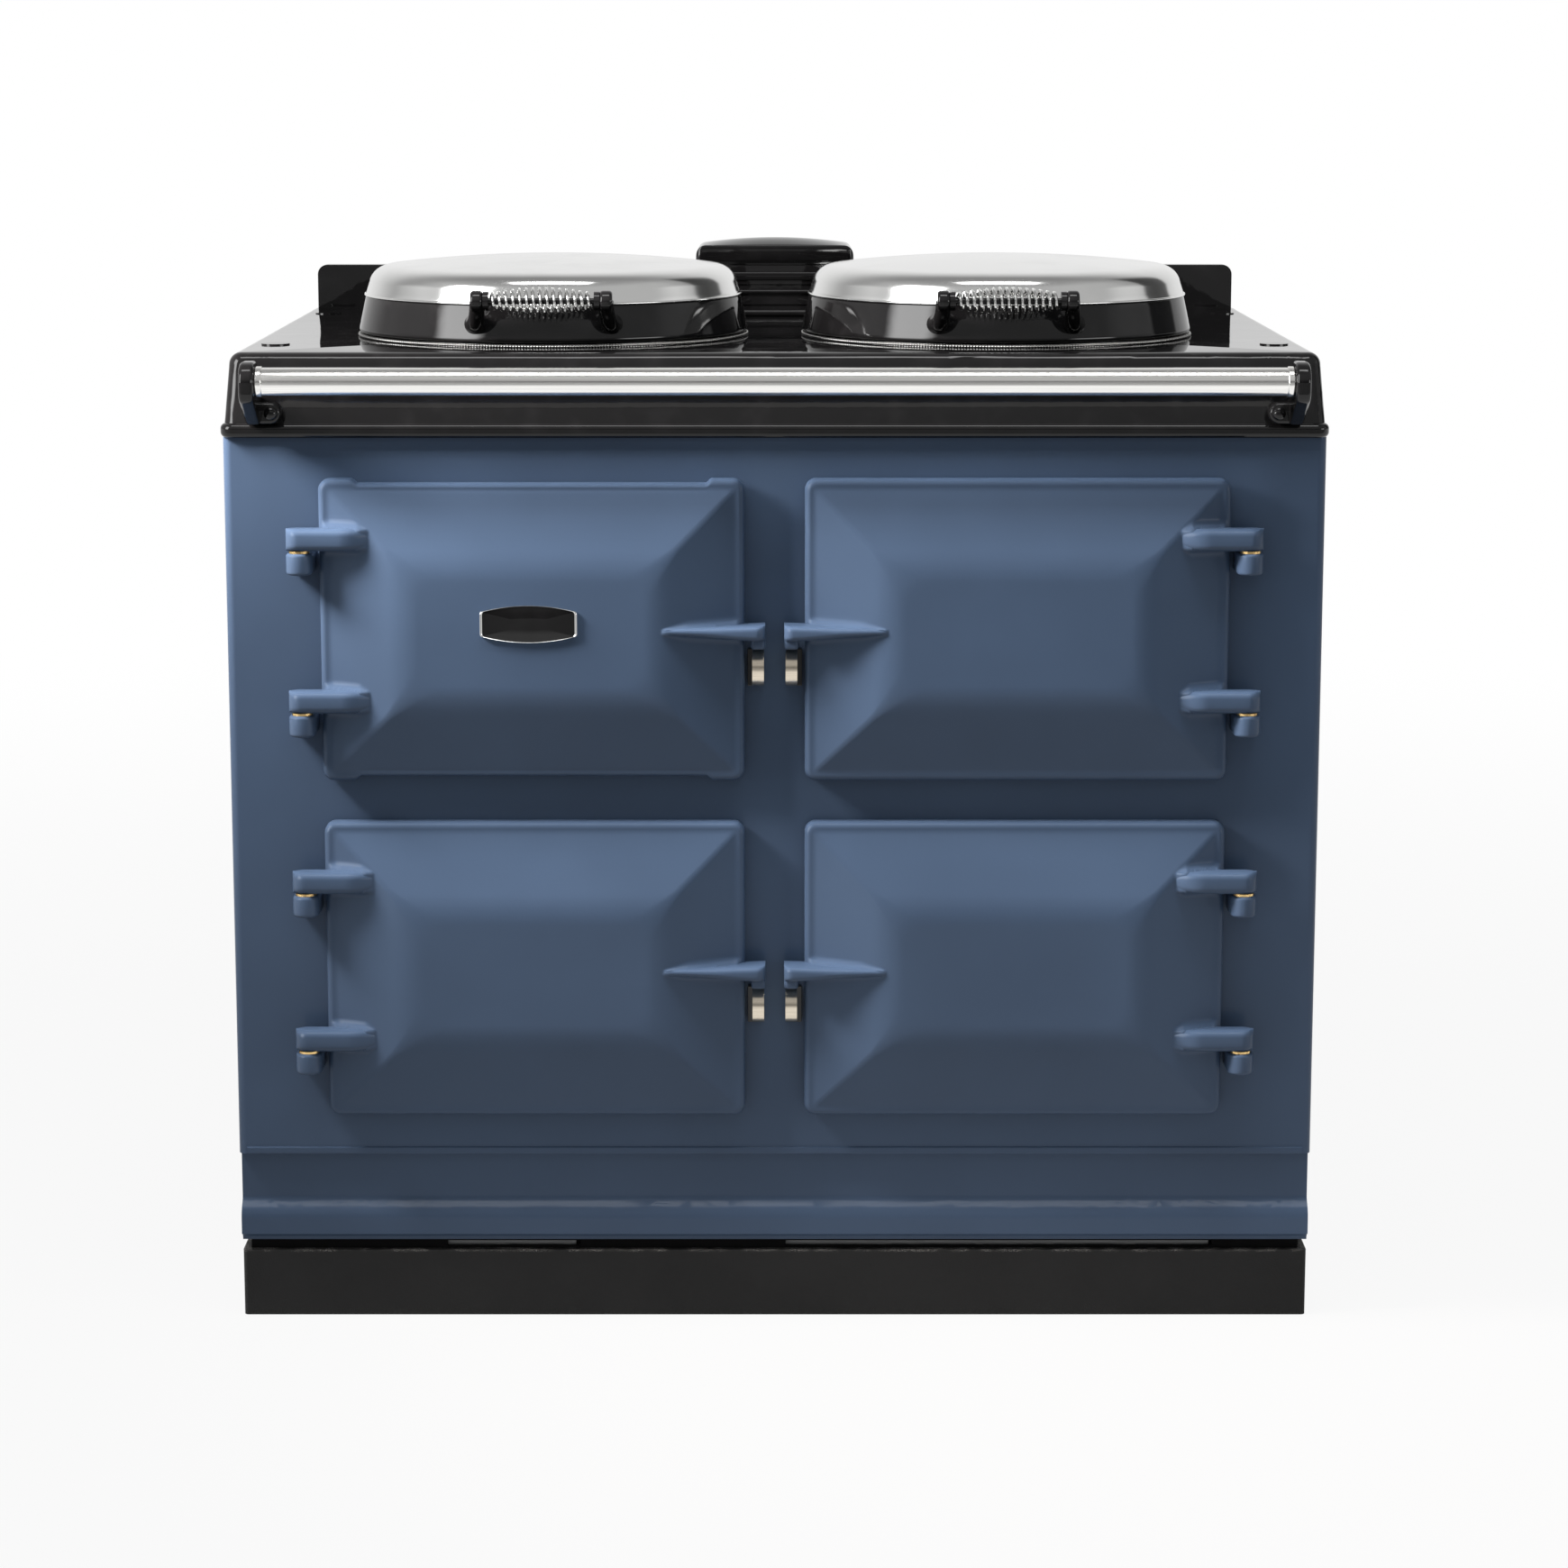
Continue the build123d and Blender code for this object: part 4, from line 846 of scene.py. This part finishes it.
class COOKER_OT_lids(bpy.types.Operator):
    """Makes the two lids: a black base with handle posts, a chrome dome and a barrel-shaped coil"""

    bl_idname = "cooker.lids"
    bl_label = "Lids"

    def execute(self, context):
        for side in SIDES:
            self.make_lid(context.scene.cooker_sizes, f"lid_{side}")
        return {"FINISHED"}

    def make_lid(self, s, name):
        """One lid: its base, dome and coil are a turned ring, a turned shell and a helix."""
        low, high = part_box(f"{name}_dome")
        centre = (low + high) / 2
        edge_r, edge_z, crest_z = (high.x - low.x) / 2, low.z, high.z
        base_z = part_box(f"{name}_base")[0].z
        coil_low, coil_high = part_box(f"{name}_handle_coil")
        grip = (coil_low + coil_high) / 2

        base = Shell()
        profile = rounded([(LID_BORE, base_z), (edge_r + 0.0065, base_z), (edge_r - 0.001, edge_z),
                           (LID_BORE, edge_z)], [0.0006, 0.0040, 0.0012, 0.0006])
        revolve(base, fill_in(profile, 0.006), centre)
        for sign in (-1, 1):
            self.post(base, centre, grip, edge_z, sign)
            self.hinge_lug(base, name, centre, base_z, edge_z, sign)
        add_piece(f"{name}_base_casting", base, name, "black_enamel", replaces=[f"{name}_base"], sharp=50)

        # A rolled lip, a steep skirt, a round shoulder and a shallow parabolic crown
        roll = np.linspace(-0.5 * np.pi, 0.6 * np.pi, 9)
        lip_r = 0.0012
        lip = np.stack([edge_r - 0.0008 + lip_r * np.cos(roll), edge_z + lip_r + lip_r * np.sin(roll)], -1)
        rim = np.array([edge_r, edge_z])
        shoulder = arc_path(rim + (-0.0045, 0.0130), rim + (-0.0065, 0.0205), rim + (-0.0125, 0.0268),
                            rim + (-0.0225, 0.0285), 24)
        brow_r, brow_z = shoulder[-1]
        crown_r = np.linspace(brow_r, 0, 24)[1:]
        crown = np.stack([crown_r, crest_z - (crest_z - brow_z) * (crown_r / brow_r) ** 2], -1)
        outer = np.vstack([lip, rim + (-0.0014, 0.0034), shoulder, crown])
        skirt = outer[len(lip):]
        inner = np.stack([skirt[:, 0] * 0.987, np.maximum(skirt[:, 1] - 0.0018, edge_z)], -1)[::-1]
        profile = fill_in(np.vstack([outer, inner, rim + (-0.0032, 0.0)]), 0.008)
        dome = revolve(Shell(), profile, centre, 192)
        add_piece(f"{name}_chrome_dome", dome, name, "chrome", "dome_chrome", replaces=[f"{name}_dome"])

        # A barrel-shaped helix: its radius swells by a half sine from the collars to the middle
        turn = np.linspace(0, 1, s.coil_turns * 30)
        swell = (coil_high.z - coil_low.z) / 2 - s.wire / 2
        collar = 0.0069
        radius = collar + (swell - collar) * np.sin(np.pi * turn)
        angle = TAU * s.coil_turns * turn
        out = np.stack([0 * turn, np.cos(angle), np.sin(angle)], -1)
        path = np.stack([coil_low.x + s.wire / 2 + (coil_high.x - coil_low.x - s.wire) * turn,
                         grip.y + radius * out[:, 1], grip.z + radius * out[:, 2]], -1)
        coil = tube(Shell(), path, s.wire / 2, out, 10)
        add_piece(f"{name}_coil", coil, name, "chrome", replaces=[f"{name}_handle_coil"])

    def post(self, shell, centre, grip, top, sign):
        """A handle post: a bar along a cubic curve, widest in the base, with a round head and a collar."""
        start = (centre.x + sign * 0.0640, centre.y - 0.140, top - 0.0170)
        first = (centre.x + sign * 0.0625, centre.y - 0.166, top - 0.0200)
        second = (centre.x + sign * 0.0585, centre.y - 0.190, top - 0.0170)
        end = (centre.x + sign * 0.0582, grip.y + 0.0015, grip.z - 0.0005)
        count = 28
        path = arc_path(start, first, second, end, count)
        flare = (1 - np.linspace(0, 1, count)) ** 2
        tube(shell, path, 0.0068 + 0.0080 * flare, (sign * 0.5, -0.5, 1), 24)
        for near, far, radius, edge in ((0.0525, 0.0640, 0.0095, 0.0030), (0.0475, 0.0530, 0.0086, 0.0014)):
            slab(shell, disc((grip.y, grip.z), radius), *span(sign, near, far, centre.x), edge, along_x)

    def hinge_lug(self, shell, name, centre, base_z, edge_z, sign):
        """A hinge lug: a round knuckle on a root that widens into the base."""
        pivot = Vector(JOINTS[f"{name}_lift"]["pos_m"])
        radius, root_y = 0.011, centre.y + 0.1665
        outline = rounded([(pivot.y - radius, pivot.z - radius), (pivot.y + radius, pivot.z - radius),
                           (pivot.y + radius, pivot.z + radius), (root_y, edge_z - 0.001),
                           (root_y, base_z + 0.0005)], [0.004, radius * 0.98, radius * 0.98, 0.001, 0.001])
        slab(shell, fill_in(outline, 0.006), *span(sign, 0.0203, 0.0483, centre.x), 0.0020, along_x)


class COOKER_OT_hob(bpy.types.Operator):
    """Lays a ring of beads round each hotplate rim"""

    bl_idname = "cooker.hob"
    bl_label = "Hob"

    def execute(self, context):
        s = context.scene.cooker_sizes
        shell = Shell()
        for side in SIDES:
            centre = middle(f"hotplate_{side}")
            # A ring whose thickness swells once for each bead
            t = np.linspace(0, TAU, s.beads * 6, endpoint=False)[None, :]
            size = 0.0010 + 0.0006 * np.abs(np.sin(t * s.beads / 2))
            a = np.linspace(0, TAU, 8, endpoint=False)[:, None]
            radius = BEAD_RING + size * np.cos(a)
            height = HOB_Z + 0.0015 + size * np.sin(a)
            points = along_z(centre.x + radius * np.cos(t), centre.y + radius * np.sin(t), height)
            shell.grid(points, True, True)
        add_piece("hotplate_beads", shell, "carcass", "stainless", "shaded_bead_steel", sharp=80)
        return {"FINISHED"}


class COOKER_OT_vent(bpy.types.Operator):
    """Makes the vent at the back of the hob: a ribbed cowl on a flange, under a crowned cap"""

    bl_idname = "cooker.vent"
    bl_label = "Vent"

    def execute(self, context):
        low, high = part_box("flue_cowl")
        ribs = Shell()
        block(ribs, (low.x - 0.006, low.y - 0.007, HOB_Z), (high.x + 0.006, high.y + 0.004, HOB_Z + 0.0065),
              0.010, 0.0028)
        for z, tall, proud in ((0.0225, 0.0040, 0.0020), (0.0360, 0.0085, 0.0028)):
            block(ribs, (low.x - proud, low.y - proud, HOB_Z + z), (high.x + proud, high.y, HOB_Z + z + tall),
                  0.004, 0.0018)
        cap_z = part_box("flue_cap")[0].z
        neck = 0.004
        block(ribs, (low.x + neck, low.y + neck, high.z - 0.008),
              (high.x - neck, high.y - neck, cap_z + 0.001), 0.006, 0.0004)
        add_piece("cowl_ribs", ribs, "carcass", "black_enamel", sharp=50)

        low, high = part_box("flue_cap")
        centre = (low + high) / 2
        half_x, half_y = (high.x - low.x) / 2, (high.y - low.y) / 2
        shoulder = high.z - 0.0035
        # Rings of the plan outline drawn in towards the middle. The crown rises as (1 - u^2)(1 - v^2),
        # and both ends fall away along a quarter circle
        plan = fill_in(rounded([(-half_x, -half_y), (half_x, -half_y), (half_x, half_y), (-half_x, half_y)],
                               [0.006, 0.006, 0.020, 0.020], 8), 0.006)
        share = np.r_[0.985, 1.0, 1.0, 0.996, 0.985, np.linspace(0.96, 0.04, 16)]
        flat = plan[None] * share[:, None, None]
        u, v = flat[..., 0] / half_x, flat[..., 1] / half_y
        rise = shoulder + 0.0065 * (1 - u ** 2) * (1 - v ** 2)
        rise[:5] = np.array([low.z, low.z + 0.001, shoulder - 0.0022, shoulder - 0.0006, shoulder])[:, None]
        bend = 0.0105
        over = np.clip(np.abs(flat[..., 0]) - half_x + bend, 0, bend)
        drop = (bend - np.sqrt(bend ** 2 - over ** 2)) * (rise > shoulder - 0.003)
        points = np.stack([centre.x + flat[..., 0], centre.y + flat[..., 1], rise - drop], -1)
        add_piece("cap_casting", Shell().bar(points), "carcass", "black_enamel", replaces=["flue_cap"],
                  sharp=40)
        return {"FINISHED"}


class COOKER_OT_rail(bpy.types.Operator):
    """Makes the hand rail: a polished tube between two curved black straps with bolted feet"""

    bl_idname = "cooker.rail"
    bl_label = "Hand rail"

    def execute(self, context):
        low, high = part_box("hand_rail")
        axis = middle("hand_rail")
        radius = (high.z - low.z) / 2
        bore = radius - 0.0015
        profile = rounded([(radius, low.x), (radius, high.x), (bore, high.x), (bore, low.x)], 0.0006, 4)
        rail = revolve(Shell(), fill_in(profile, 0.05), (axis.y, axis.z), 64, True, along_x)
        for sign in (-1, 1):
            ends = span(sign, high.x - 0.0005, high.x - 0.0065)
            slab(rail, disc((axis.y, axis.z), radius + 0.0010, 64), *ends, 0.0012, along_x)
        add_piece("rail_tube", rail, "carcass", "stainless", "rail", replaces=["hand_rail"])

        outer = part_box("rail_brackets")
        back, foot_z = FACE_Y + 0.0035, outer[0].z
        cheek = outer[1].z - axis.z
        strap = rounded([(axis.y - cheek, axis.z + cheek), (axis.y + cheek, axis.z + cheek),
                         (back, foot_z + 0.0215), (back, foot_z + 0.0004), (FACE_Y - 0.022, foot_z + 0.0004),
                         (axis.y - cheek, axis.z - 0.0150)],
                        [cheek * 0.98, 0.0150, 0.0004, 0.0004, 0.0070, 0.0120], 12)
        dome = np.array([(0.0, -0.0034), (0.0030, -0.0030), (0.0052, -0.0016), (0.0060, 0.0), (0.0, 0.0)])
        shell, bolts = Shell(), Shell()
        for sign in (-1, 1):
            slab(shell, fill_in(strap, 0.004), *span(sign, high.x, outer[1].x), 0.0032, along_x, 7)
            near, far = span(sign, outer[1].x - 0.030, outer[1].x - 0.002)
            block(shell, (near, FACE_Y - 0.0175, foot_z + 0.0006), (far, back, foot_z + 0.0195),
                  0.0085, 0.003, along_y)
            spot = (sign * (outer[1].x - 0.0215), foot_z + 0.010)
            revolve(bolts, dome + (0, FACE_Y - 0.0174), spot, 32, False, along_y)
        add_piece("rail_straps", shell, "carcass", "black_enamel", replaces=["rail_brackets"], sharp=50)
        add_piece("rail_bolts", bolts, "carcass", "black_enamel")
        return {"FINISHED"}


class COOKER_OT_fittings(bpy.types.Operator):
    """Makes the small fittings: hinge knuckles, door seals, knobs with dials, slot plates and back screws"""

    bl_idname = "cooker.fittings"
    bl_label = "Fittings"

    def execute(self, context):
        self.knuckles(context.scene.cooker_sizes)
        for name in DOORS:
            self.seal(name)
        for name in KNOBS:
            self.knob(name)
        self.dials()
        self.slot_plates()
        self.back_screws()
        return {"FINISHED"}

    def slot_plates(self):
        """Plates just inside the two air slots of the base tray, in sheet steel darkened as painted shade."""
        shell = Shell()
        low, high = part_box("base_tray")
        for start, end in ((-0.308, -0.184), (0.006, 0.402)):
            block(shell, (start, low.y + 0.0040, low.z + 0.0012), (end, low.y + 0.0055, high.z - 0.0012),
                  0.0004, 0.0003)
        add_piece("slot_plates", shell, "carcass", "plinth_paint", "shaded_slot_steel")

    def back_screws(self):
        """Pan-head screws round the edge of the back panel."""
        shell = Shell()
        low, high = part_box("back_panel")
        rows = np.linspace(low.z + 0.030, high.z - 0.030, 4)
        places = [(x, z) for x in (low.x + 0.016, high.x - 0.016) for z in rows]
        places += [(x, z) for x in (-0.16, 0.16) for z in (rows[0] - 0.012, rows[-1] + 0.012)]
        for place in places:
            slab(shell, disc(place, 0.0065, 32), high.y - 0.0012, high.y + 0.0026, 0.0018, along_y)
        add_piece("back_screws", shell, "carcass", "stainless", sharp=50)

    def knuckles(self, s):
        """The knuckles under the hinge arms: bullnosed posts that stand on the front plate."""
        shell = Shell()
        r, root_y = s.hinge_radius, FACE_Y + 0.010
        for name in DOORS:
            pivot = Vector(JOINTS[f"{name}_swing"]["pos_m"])
            middle_z = middle(f"{name}_liner").z
            outline = rounded([(pivot.x - r, pivot.y - r), (pivot.x + r, pivot.y - r), (pivot.x + r, root_y),
                               (pivot.x - r, root_y)], [r * 0.985, r * 0.985, 0.001, 0.001], 14)
            for arm_w in (s.arm_upper, s.arm_lower):
                top = middle_z + arm_w - s.arm_height / 2 - 0.002
                slab(shell, fill_in(outline, 0.006), top - 0.0195, top, 0.0030, along_z, 7)
        add_piece("hinge_knuckles", shell, "carcass", "blue_enamel", replaces=["hinge_brackets"], sharp=50)

    def seal(self, name):
        """A flat woven seal: a low crowned section carried round a rounded rectangle."""
        low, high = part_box(f"{name}_seal")
        centre = (low + high) / 2
        t = np.linspace(0, np.pi, 11)
        half = 0.006
        across = np.r_[-half * np.cos(t), half, -half]
        lift = np.r_[(high.y - low.y) * np.sin(t) ** 0.6, 0, 0]
        flat = border_rings((high.x - low.x) / 2 - half + across, (high.z - low.z) / 2 - half + across,
                            0.014 + across, (40, 30), 8)
        points = np.stack([centre.x + flat[..., 0], low.y + lift[:, None] + 0 * flat[..., 0],
                           centre.z + flat[..., 1]], -1)
        seal = Shell().grid(points, True, True)
        add_piece(f"{name}_rope", seal, name, "rope_seal", replaces=[f"{name}_seal"], sharp=60)

    def knob(self, name):
        """A fluted knob: its radius dips along 18 waves round the grip, with a raised pointer across it."""
        low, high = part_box(name)
        centre = middle(name)
        rear, front = high.y, low.y + 0.005
        profile = np.array([(0.0, rear), (0.0175, rear), (0.019, rear - 0.001), (0.0188, rear - 0.0032),
                            (0.0175, rear - 0.0042), (0.0156, rear - 0.0050), (0.0152, rear - 0.010),
                            (0.0148, front + 0.002), (0.0138, front + 0.0004), (0.0120, front),
                            (0.0, front - 0.0008)])
        fluted = np.array([0, 0, 0, 0, 0, 1, 1, 1, 0.6, 0, 0])[:, None]
        turn = np.linspace(0, TAU, 144, endpoint=False)[None, :]
        radius = profile[:, :1] - fluted * 0.0009 * (0.5 - 0.5 * np.cos(18 * turn))
        a, b = centre.x + radius * np.cos(turn), centre.z + radius * np.sin(turn)
        shell = Shell().grid(along_y(a, b, np.broadcast_to(profile[:, 1:], a.shape)), False, True)
        wide, tall = 0.0025, 0.0125
        block(shell, (centre.x - wide, low.y, centre.z - tall),
              (centre.x + wide, front + 0.003, centre.z + tall), 0.0022, 0.0012, along_y)
        add_piece(f"{name}_grip", shell, name, "knob_plastic", replaces=[name], sharp=40)
        mark = block(Shell(), (centre.x - 0.0007, low.y - 0.0002, centre.z + 0.0030),
                     (centre.x + 0.0007, low.y + 0.0006, centre.z + 0.0115), 0.0004, 0.0001, along_y)
        add_piece(f"{name}_mark", mark, name, "knob_plastic", "marking")

    def dials(self):
        """Black ticks round each knob, 30 degrees apart over 270 degrees."""
        shell = Shell()
        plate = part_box("control_fascia")[0].y
        near, far = 0.0215, 0.0255
        for name in KNOBS:
            centre = middle(name)
            for step in range(10):
                angle = math.radians(90 - 30 * step)
                wide = 0.0011 if step % 3 == 0 else 0.0006
                out = np.array([math.cos(angle), math.sin(angle)])
                turned = np.array([-out[1], out[0]])
                corners = np.array([near * out - wide * turned, far * out - wide * turned,
                                    far * out + wide * turned, near * out + wide * turned])
                outline = fill_in(corners + (centre.x, centre.z), 0.01)
                slab(shell, outline, plate - 0.00015, plate + 0.0003, 0.00005, along_y, 2)
        add_piece("dial_marks", shell, "carcass", "stainless", "knob_plastic")


# Finishes other than a node's own slot, and radii of edges that are rounded a little
# The base tray takes the painted-shade black, darker than its enamel
CAD_FINISH = {"oven_roast": "oven", "oven_bake": "oven", "oven_simmer": "oven", "base_tray": "painted_shade"}
SOFT_EDGES = {
    "plinth": 0.0010, "base_tray": 0.0006, "side_panel_left": 0.0012, "side_panel_right": 0.0012,
    "back_panel": 0.0005, "control_box": 0.0005, "door_catches": 0.0008,
    "insulation": 0.0050, "flue_cowl": 0.0015, "flue_cap": 0.0020, "rear_upstand": 0.0040,
    "lid_hinge_brackets": 0.0015,
}


class COOKER_OT_castings(bpy.types.Operator):
    """Dresses the pieces that keep their built shape: finish, merged corners, soft or crisp edges"""

    bl_idname = "cooker.castings"
    bl_label = "Plain pieces"

    def execute(self, context):
        crisp = math.radians(40)
        slots = {part["node"]: part["material_slot"] for part in frame["record"]["subparts"]}
        for name, node in frame["nodes"].items():
            mesh = node.data
            if mesh.has_custom_normals:
                mesh.attributes.remove(mesh.attributes["custom_normal"])
            mesh.materials.clear()
            mesh.materials.append(FINISHES[CAD_FINISH.get(name, slots[name])])
            mesh.polygons.foreach_set("use_smooth", np.ones(len(mesh.polygons), bool))
            weld = node.modifiers.new("Merged corners", "WELD")
            weld.merge_threshold = 1e-5
            if name in SOFT_EDGES:
                bevel = node.modifiers.new("Soft edges", "BEVEL")
                bevel.width = SOFT_EDGES[name]
                bevel.segments = 3
                bevel.limit_method = "ANGLE"
                bevel.angle_limit = crisp
            split = node.modifiers.new("Crisp edges", "EDGE_SPLIT")
            split.split_angle = crisp
            if name in SOFT_EDGES:
                node.modifiers.new("Flat faces", "WEIGHTED_NORMAL").keep_sharp = True
        return {"FINISHED"}


class COOKER_OT_stage(bpy.types.Operator):
    """Sets the camera, a soft key light at the upper left, a strip overhead, a pale floor and a studio"""

    bl_idname = "cooker.stage"
    bl_label = "Stage"

    def execute(self, context):
        scene = context.scene
        scene.view_settings.view_transform = "Standard"
        lens = bpy.data.cameras.new("camera")
        lens.lens = 89.096
        lens.sensor_width = 36
        lens.shift_x = 0.0059
        lens.shift_y = -0.05
        lens.clip_end = 200
        camera = bpy.data.objects.new("camera", lens)
        camera.location = (0, -3.7365, 1.1538)
        camera.rotation_euler = (math.radians(90 - 9.551), 0, 0)
        scene.collection.objects.link(camera)
        scene.camera = camera

        key = self.lamp("key_light", place=(-1.10, -0.52, 1.45), aim=(0.16, -0.31, 0.84),
                        size=(0.40, 0.40), power=23)
        key.data.spread = math.radians(84)
        key.data.color = (1.0, 0.90, 0.84)
        overhead = self.lamp("overhead_light", place=(0, -0.62, 2.05), aim=(0, -0.34, 0.30),
                             size=(1.60, 0.30), power=26)
        self.studio(scene)

        edge = np.array([-40.0, 40.0])
        x, y = np.meshgrid(edge, edge)
        sheet = Shell().grid(np.stack([x, y, 0 * x + FLOOR_Z - 0.0003], -1))
        floor = bpy.data.objects.new("floor", sheet.mesh("floor", 30))
        floor.data.materials.append(self.floor_finish())
        scene.collection.objects.link(floor)
        return {"FINISHED"}

    def lamp(self, name, place, aim, size, power):
        """A soft lamp that faces the point aim; the studio's own glow stands for it in mirrors."""
        light = bpy.data.lights.new(name, "AREA")
        light.shape = "RECTANGLE"
        light.size, light.size_y = size
        light.energy = power
        lamp = bpy.data.objects.new(name, light)
        lamp.location = place
        lamp.visible_camera = False
        lamp.visible_glossy = False
        lamp.rotation_euler = (Vector(aim) - Vector(place)).to_track_quat("-Z", "Y").to_euler()
        bpy.context.scene.collection.objects.link(lamp)
        return lamp

    def rays(self, f):
        """1 for camera rays, and 1 for mirror and glass rays."""
        seen = f.node("ShaderNodeLightPath", output="Is Camera Ray")
        outputs = seen.socket.node.outputs
        mirrored = Value(f, outputs["Is Glossy Ray"]) + Value(f, outputs["Is Transmission Ray"])
        return seen, mirrored.ramp(0, 1, False)

    def studio(self, scene):
        """White to the camera, with a room that only mirrors see.

        It is white behind the cooker and dim in front, with a pale band part way up, a bright strip at each
        side, a tube light overhead and a dark screen on the right.
        """
        scene.world = scene.world or bpy.data.worlds.new("studio")
        f = Finish(scene.world)
        seen, mirrored = self.rays(f)
        ray = f.node("ShaderNodeTexCoord", output="Generated")
        split = f.node("ShaderNodeSeparateXYZ", sockets={"Vector": ray}).socket.node
        right, behind, above = (Value(f, split.outputs[i]) for i in range(3))
        band = 0.34 * above.ramp(0.08, 0.30) - 0.18 * above.ramp(0.65, 0.95)
        room = 0.14 + band * (1 - behind.ramp(-0.10, 0.50)) + 0.72 * behind.ramp(0.05, 1.0)
        room = room + 0.26 * right.size().ramp(0.86, 0.96)
        rounding = above * above * 0.55 - behind * 0.559
        left_strip = (rounding - right * 0.829).ramp(0.955, 0.995) * (1 - above.ramp(0.55, 0.72))
        right_strip = (rounding + right * 0.829).ramp(0.955, 0.995) * (1 - above.ramp(0.08, 0.20))
        tube_light = (1 - (behind + 0.32).size().ramp(0.05, 0.14)) * (1 - right.size().ramp(0.20, 0.32))
        room = room + 10.0 * left_strip + 6.0 * right_strip + 7.0 * tube_light * above.ramp(0.35, 0.60)
        screen = right.ramp(0.50, 0.70) * behind.ramp(0.22, 0.28) * (1 - behind.ramp(0.62, 0.68))
        plain = mirrored * room * (1 - 0.85 * screen) + (1 - mirrored) * 0.47
        level = seen + (1 - seen) * plain
        sky = f.node("ShaderNodeBackground", sockets={"Color": level, "Strength": 1.0})
        f.node("ShaderNodeOutputWorld", sockets={"Surface": sky})

    def floor_finish(self):
        """A pale floor that is nearly white to the camera and to mirrors, and keeps a soft shadow."""
        f = material("floor")
        seen, mirrored = self.rays(f)
        grey = (0.36, 0.36, 0.36, 1)
        paper = f.node("ShaderNodeBsdfPrincipled", sockets={"Base Color": grey, "Roughness": 0.9})
        glow = f.node("ShaderNodeEmission", sockets={"Color": (1, 1, 1, 1), "Strength": 1.0})
        x, y, _ = f.axes()
        far = (x * x + y * y).root().ramp(1.0, 4.0)
        share = seen * (0.92 + 0.08 * far) + mirrored * (0.22 + 0.76 * y.ramp(-2.8, -1.8))
        surface = f.node("ShaderNodeMixShader", sockets={0: share, 1: paper, 2: glow})
        f.node("ShaderNodeOutputMaterial", sockets={"Surface": surface})
        return f.owner


OPERATORS = (COOKER_OT_castings, COOKER_OT_doors, COOKER_OT_plaque, COOKER_OT_lids, COOKER_OT_hob,
             COOKER_OT_vent, COOKER_OT_rail, COOKER_OT_fittings, COOKER_OT_stage)


class COOKER_PT_panel(bpy.types.Panel):
    """Lists the cooker's pieces, sizes and colours"""

    bl_idname = "COOKER_PT_panel"
    bl_label = "Range Cooker"
    bl_space_type = "VIEW_3D"
    bl_region_type = "UI"
    bl_category = "Range Cooker"

    def draw(self, context):
        for operator in OPERATORS:
            self.layout.operator(operator.bl_idname)
        for group in (context.scene.cooker_sizes, context.scene.cooker_colours):
            box = self.layout.box()
            for name in group.__annotations__:
                box.prop(group, name)


CLASSES = (CookerSizes, CookerColours) + OPERATORS + (COOKER_PT_panel,)


def register():
    for item in CLASSES:
        bpy.utils.register_class(item)
    bpy.types.Scene.cooker_sizes = PointerProperty(type=CookerSizes)
    bpy.types.Scene.cooker_colours = PointerProperty(type=CookerColours)


def unregister():
    del bpy.types.Scene.cooker_colours
    del bpy.types.Scene.cooker_sizes
    for item in reversed(CLASSES):
        bpy.utils.unregister_class(item)


def main():
    register()
    FINISHES.update(make_finishes(bpy.context.scene.cooker_colours))
    for operator in OPERATORS:
        group, name = operator.bl_idname.split(".")
        getattr(getattr(bpy.ops, group), name)()


if __name__ == "__main__":
    main()
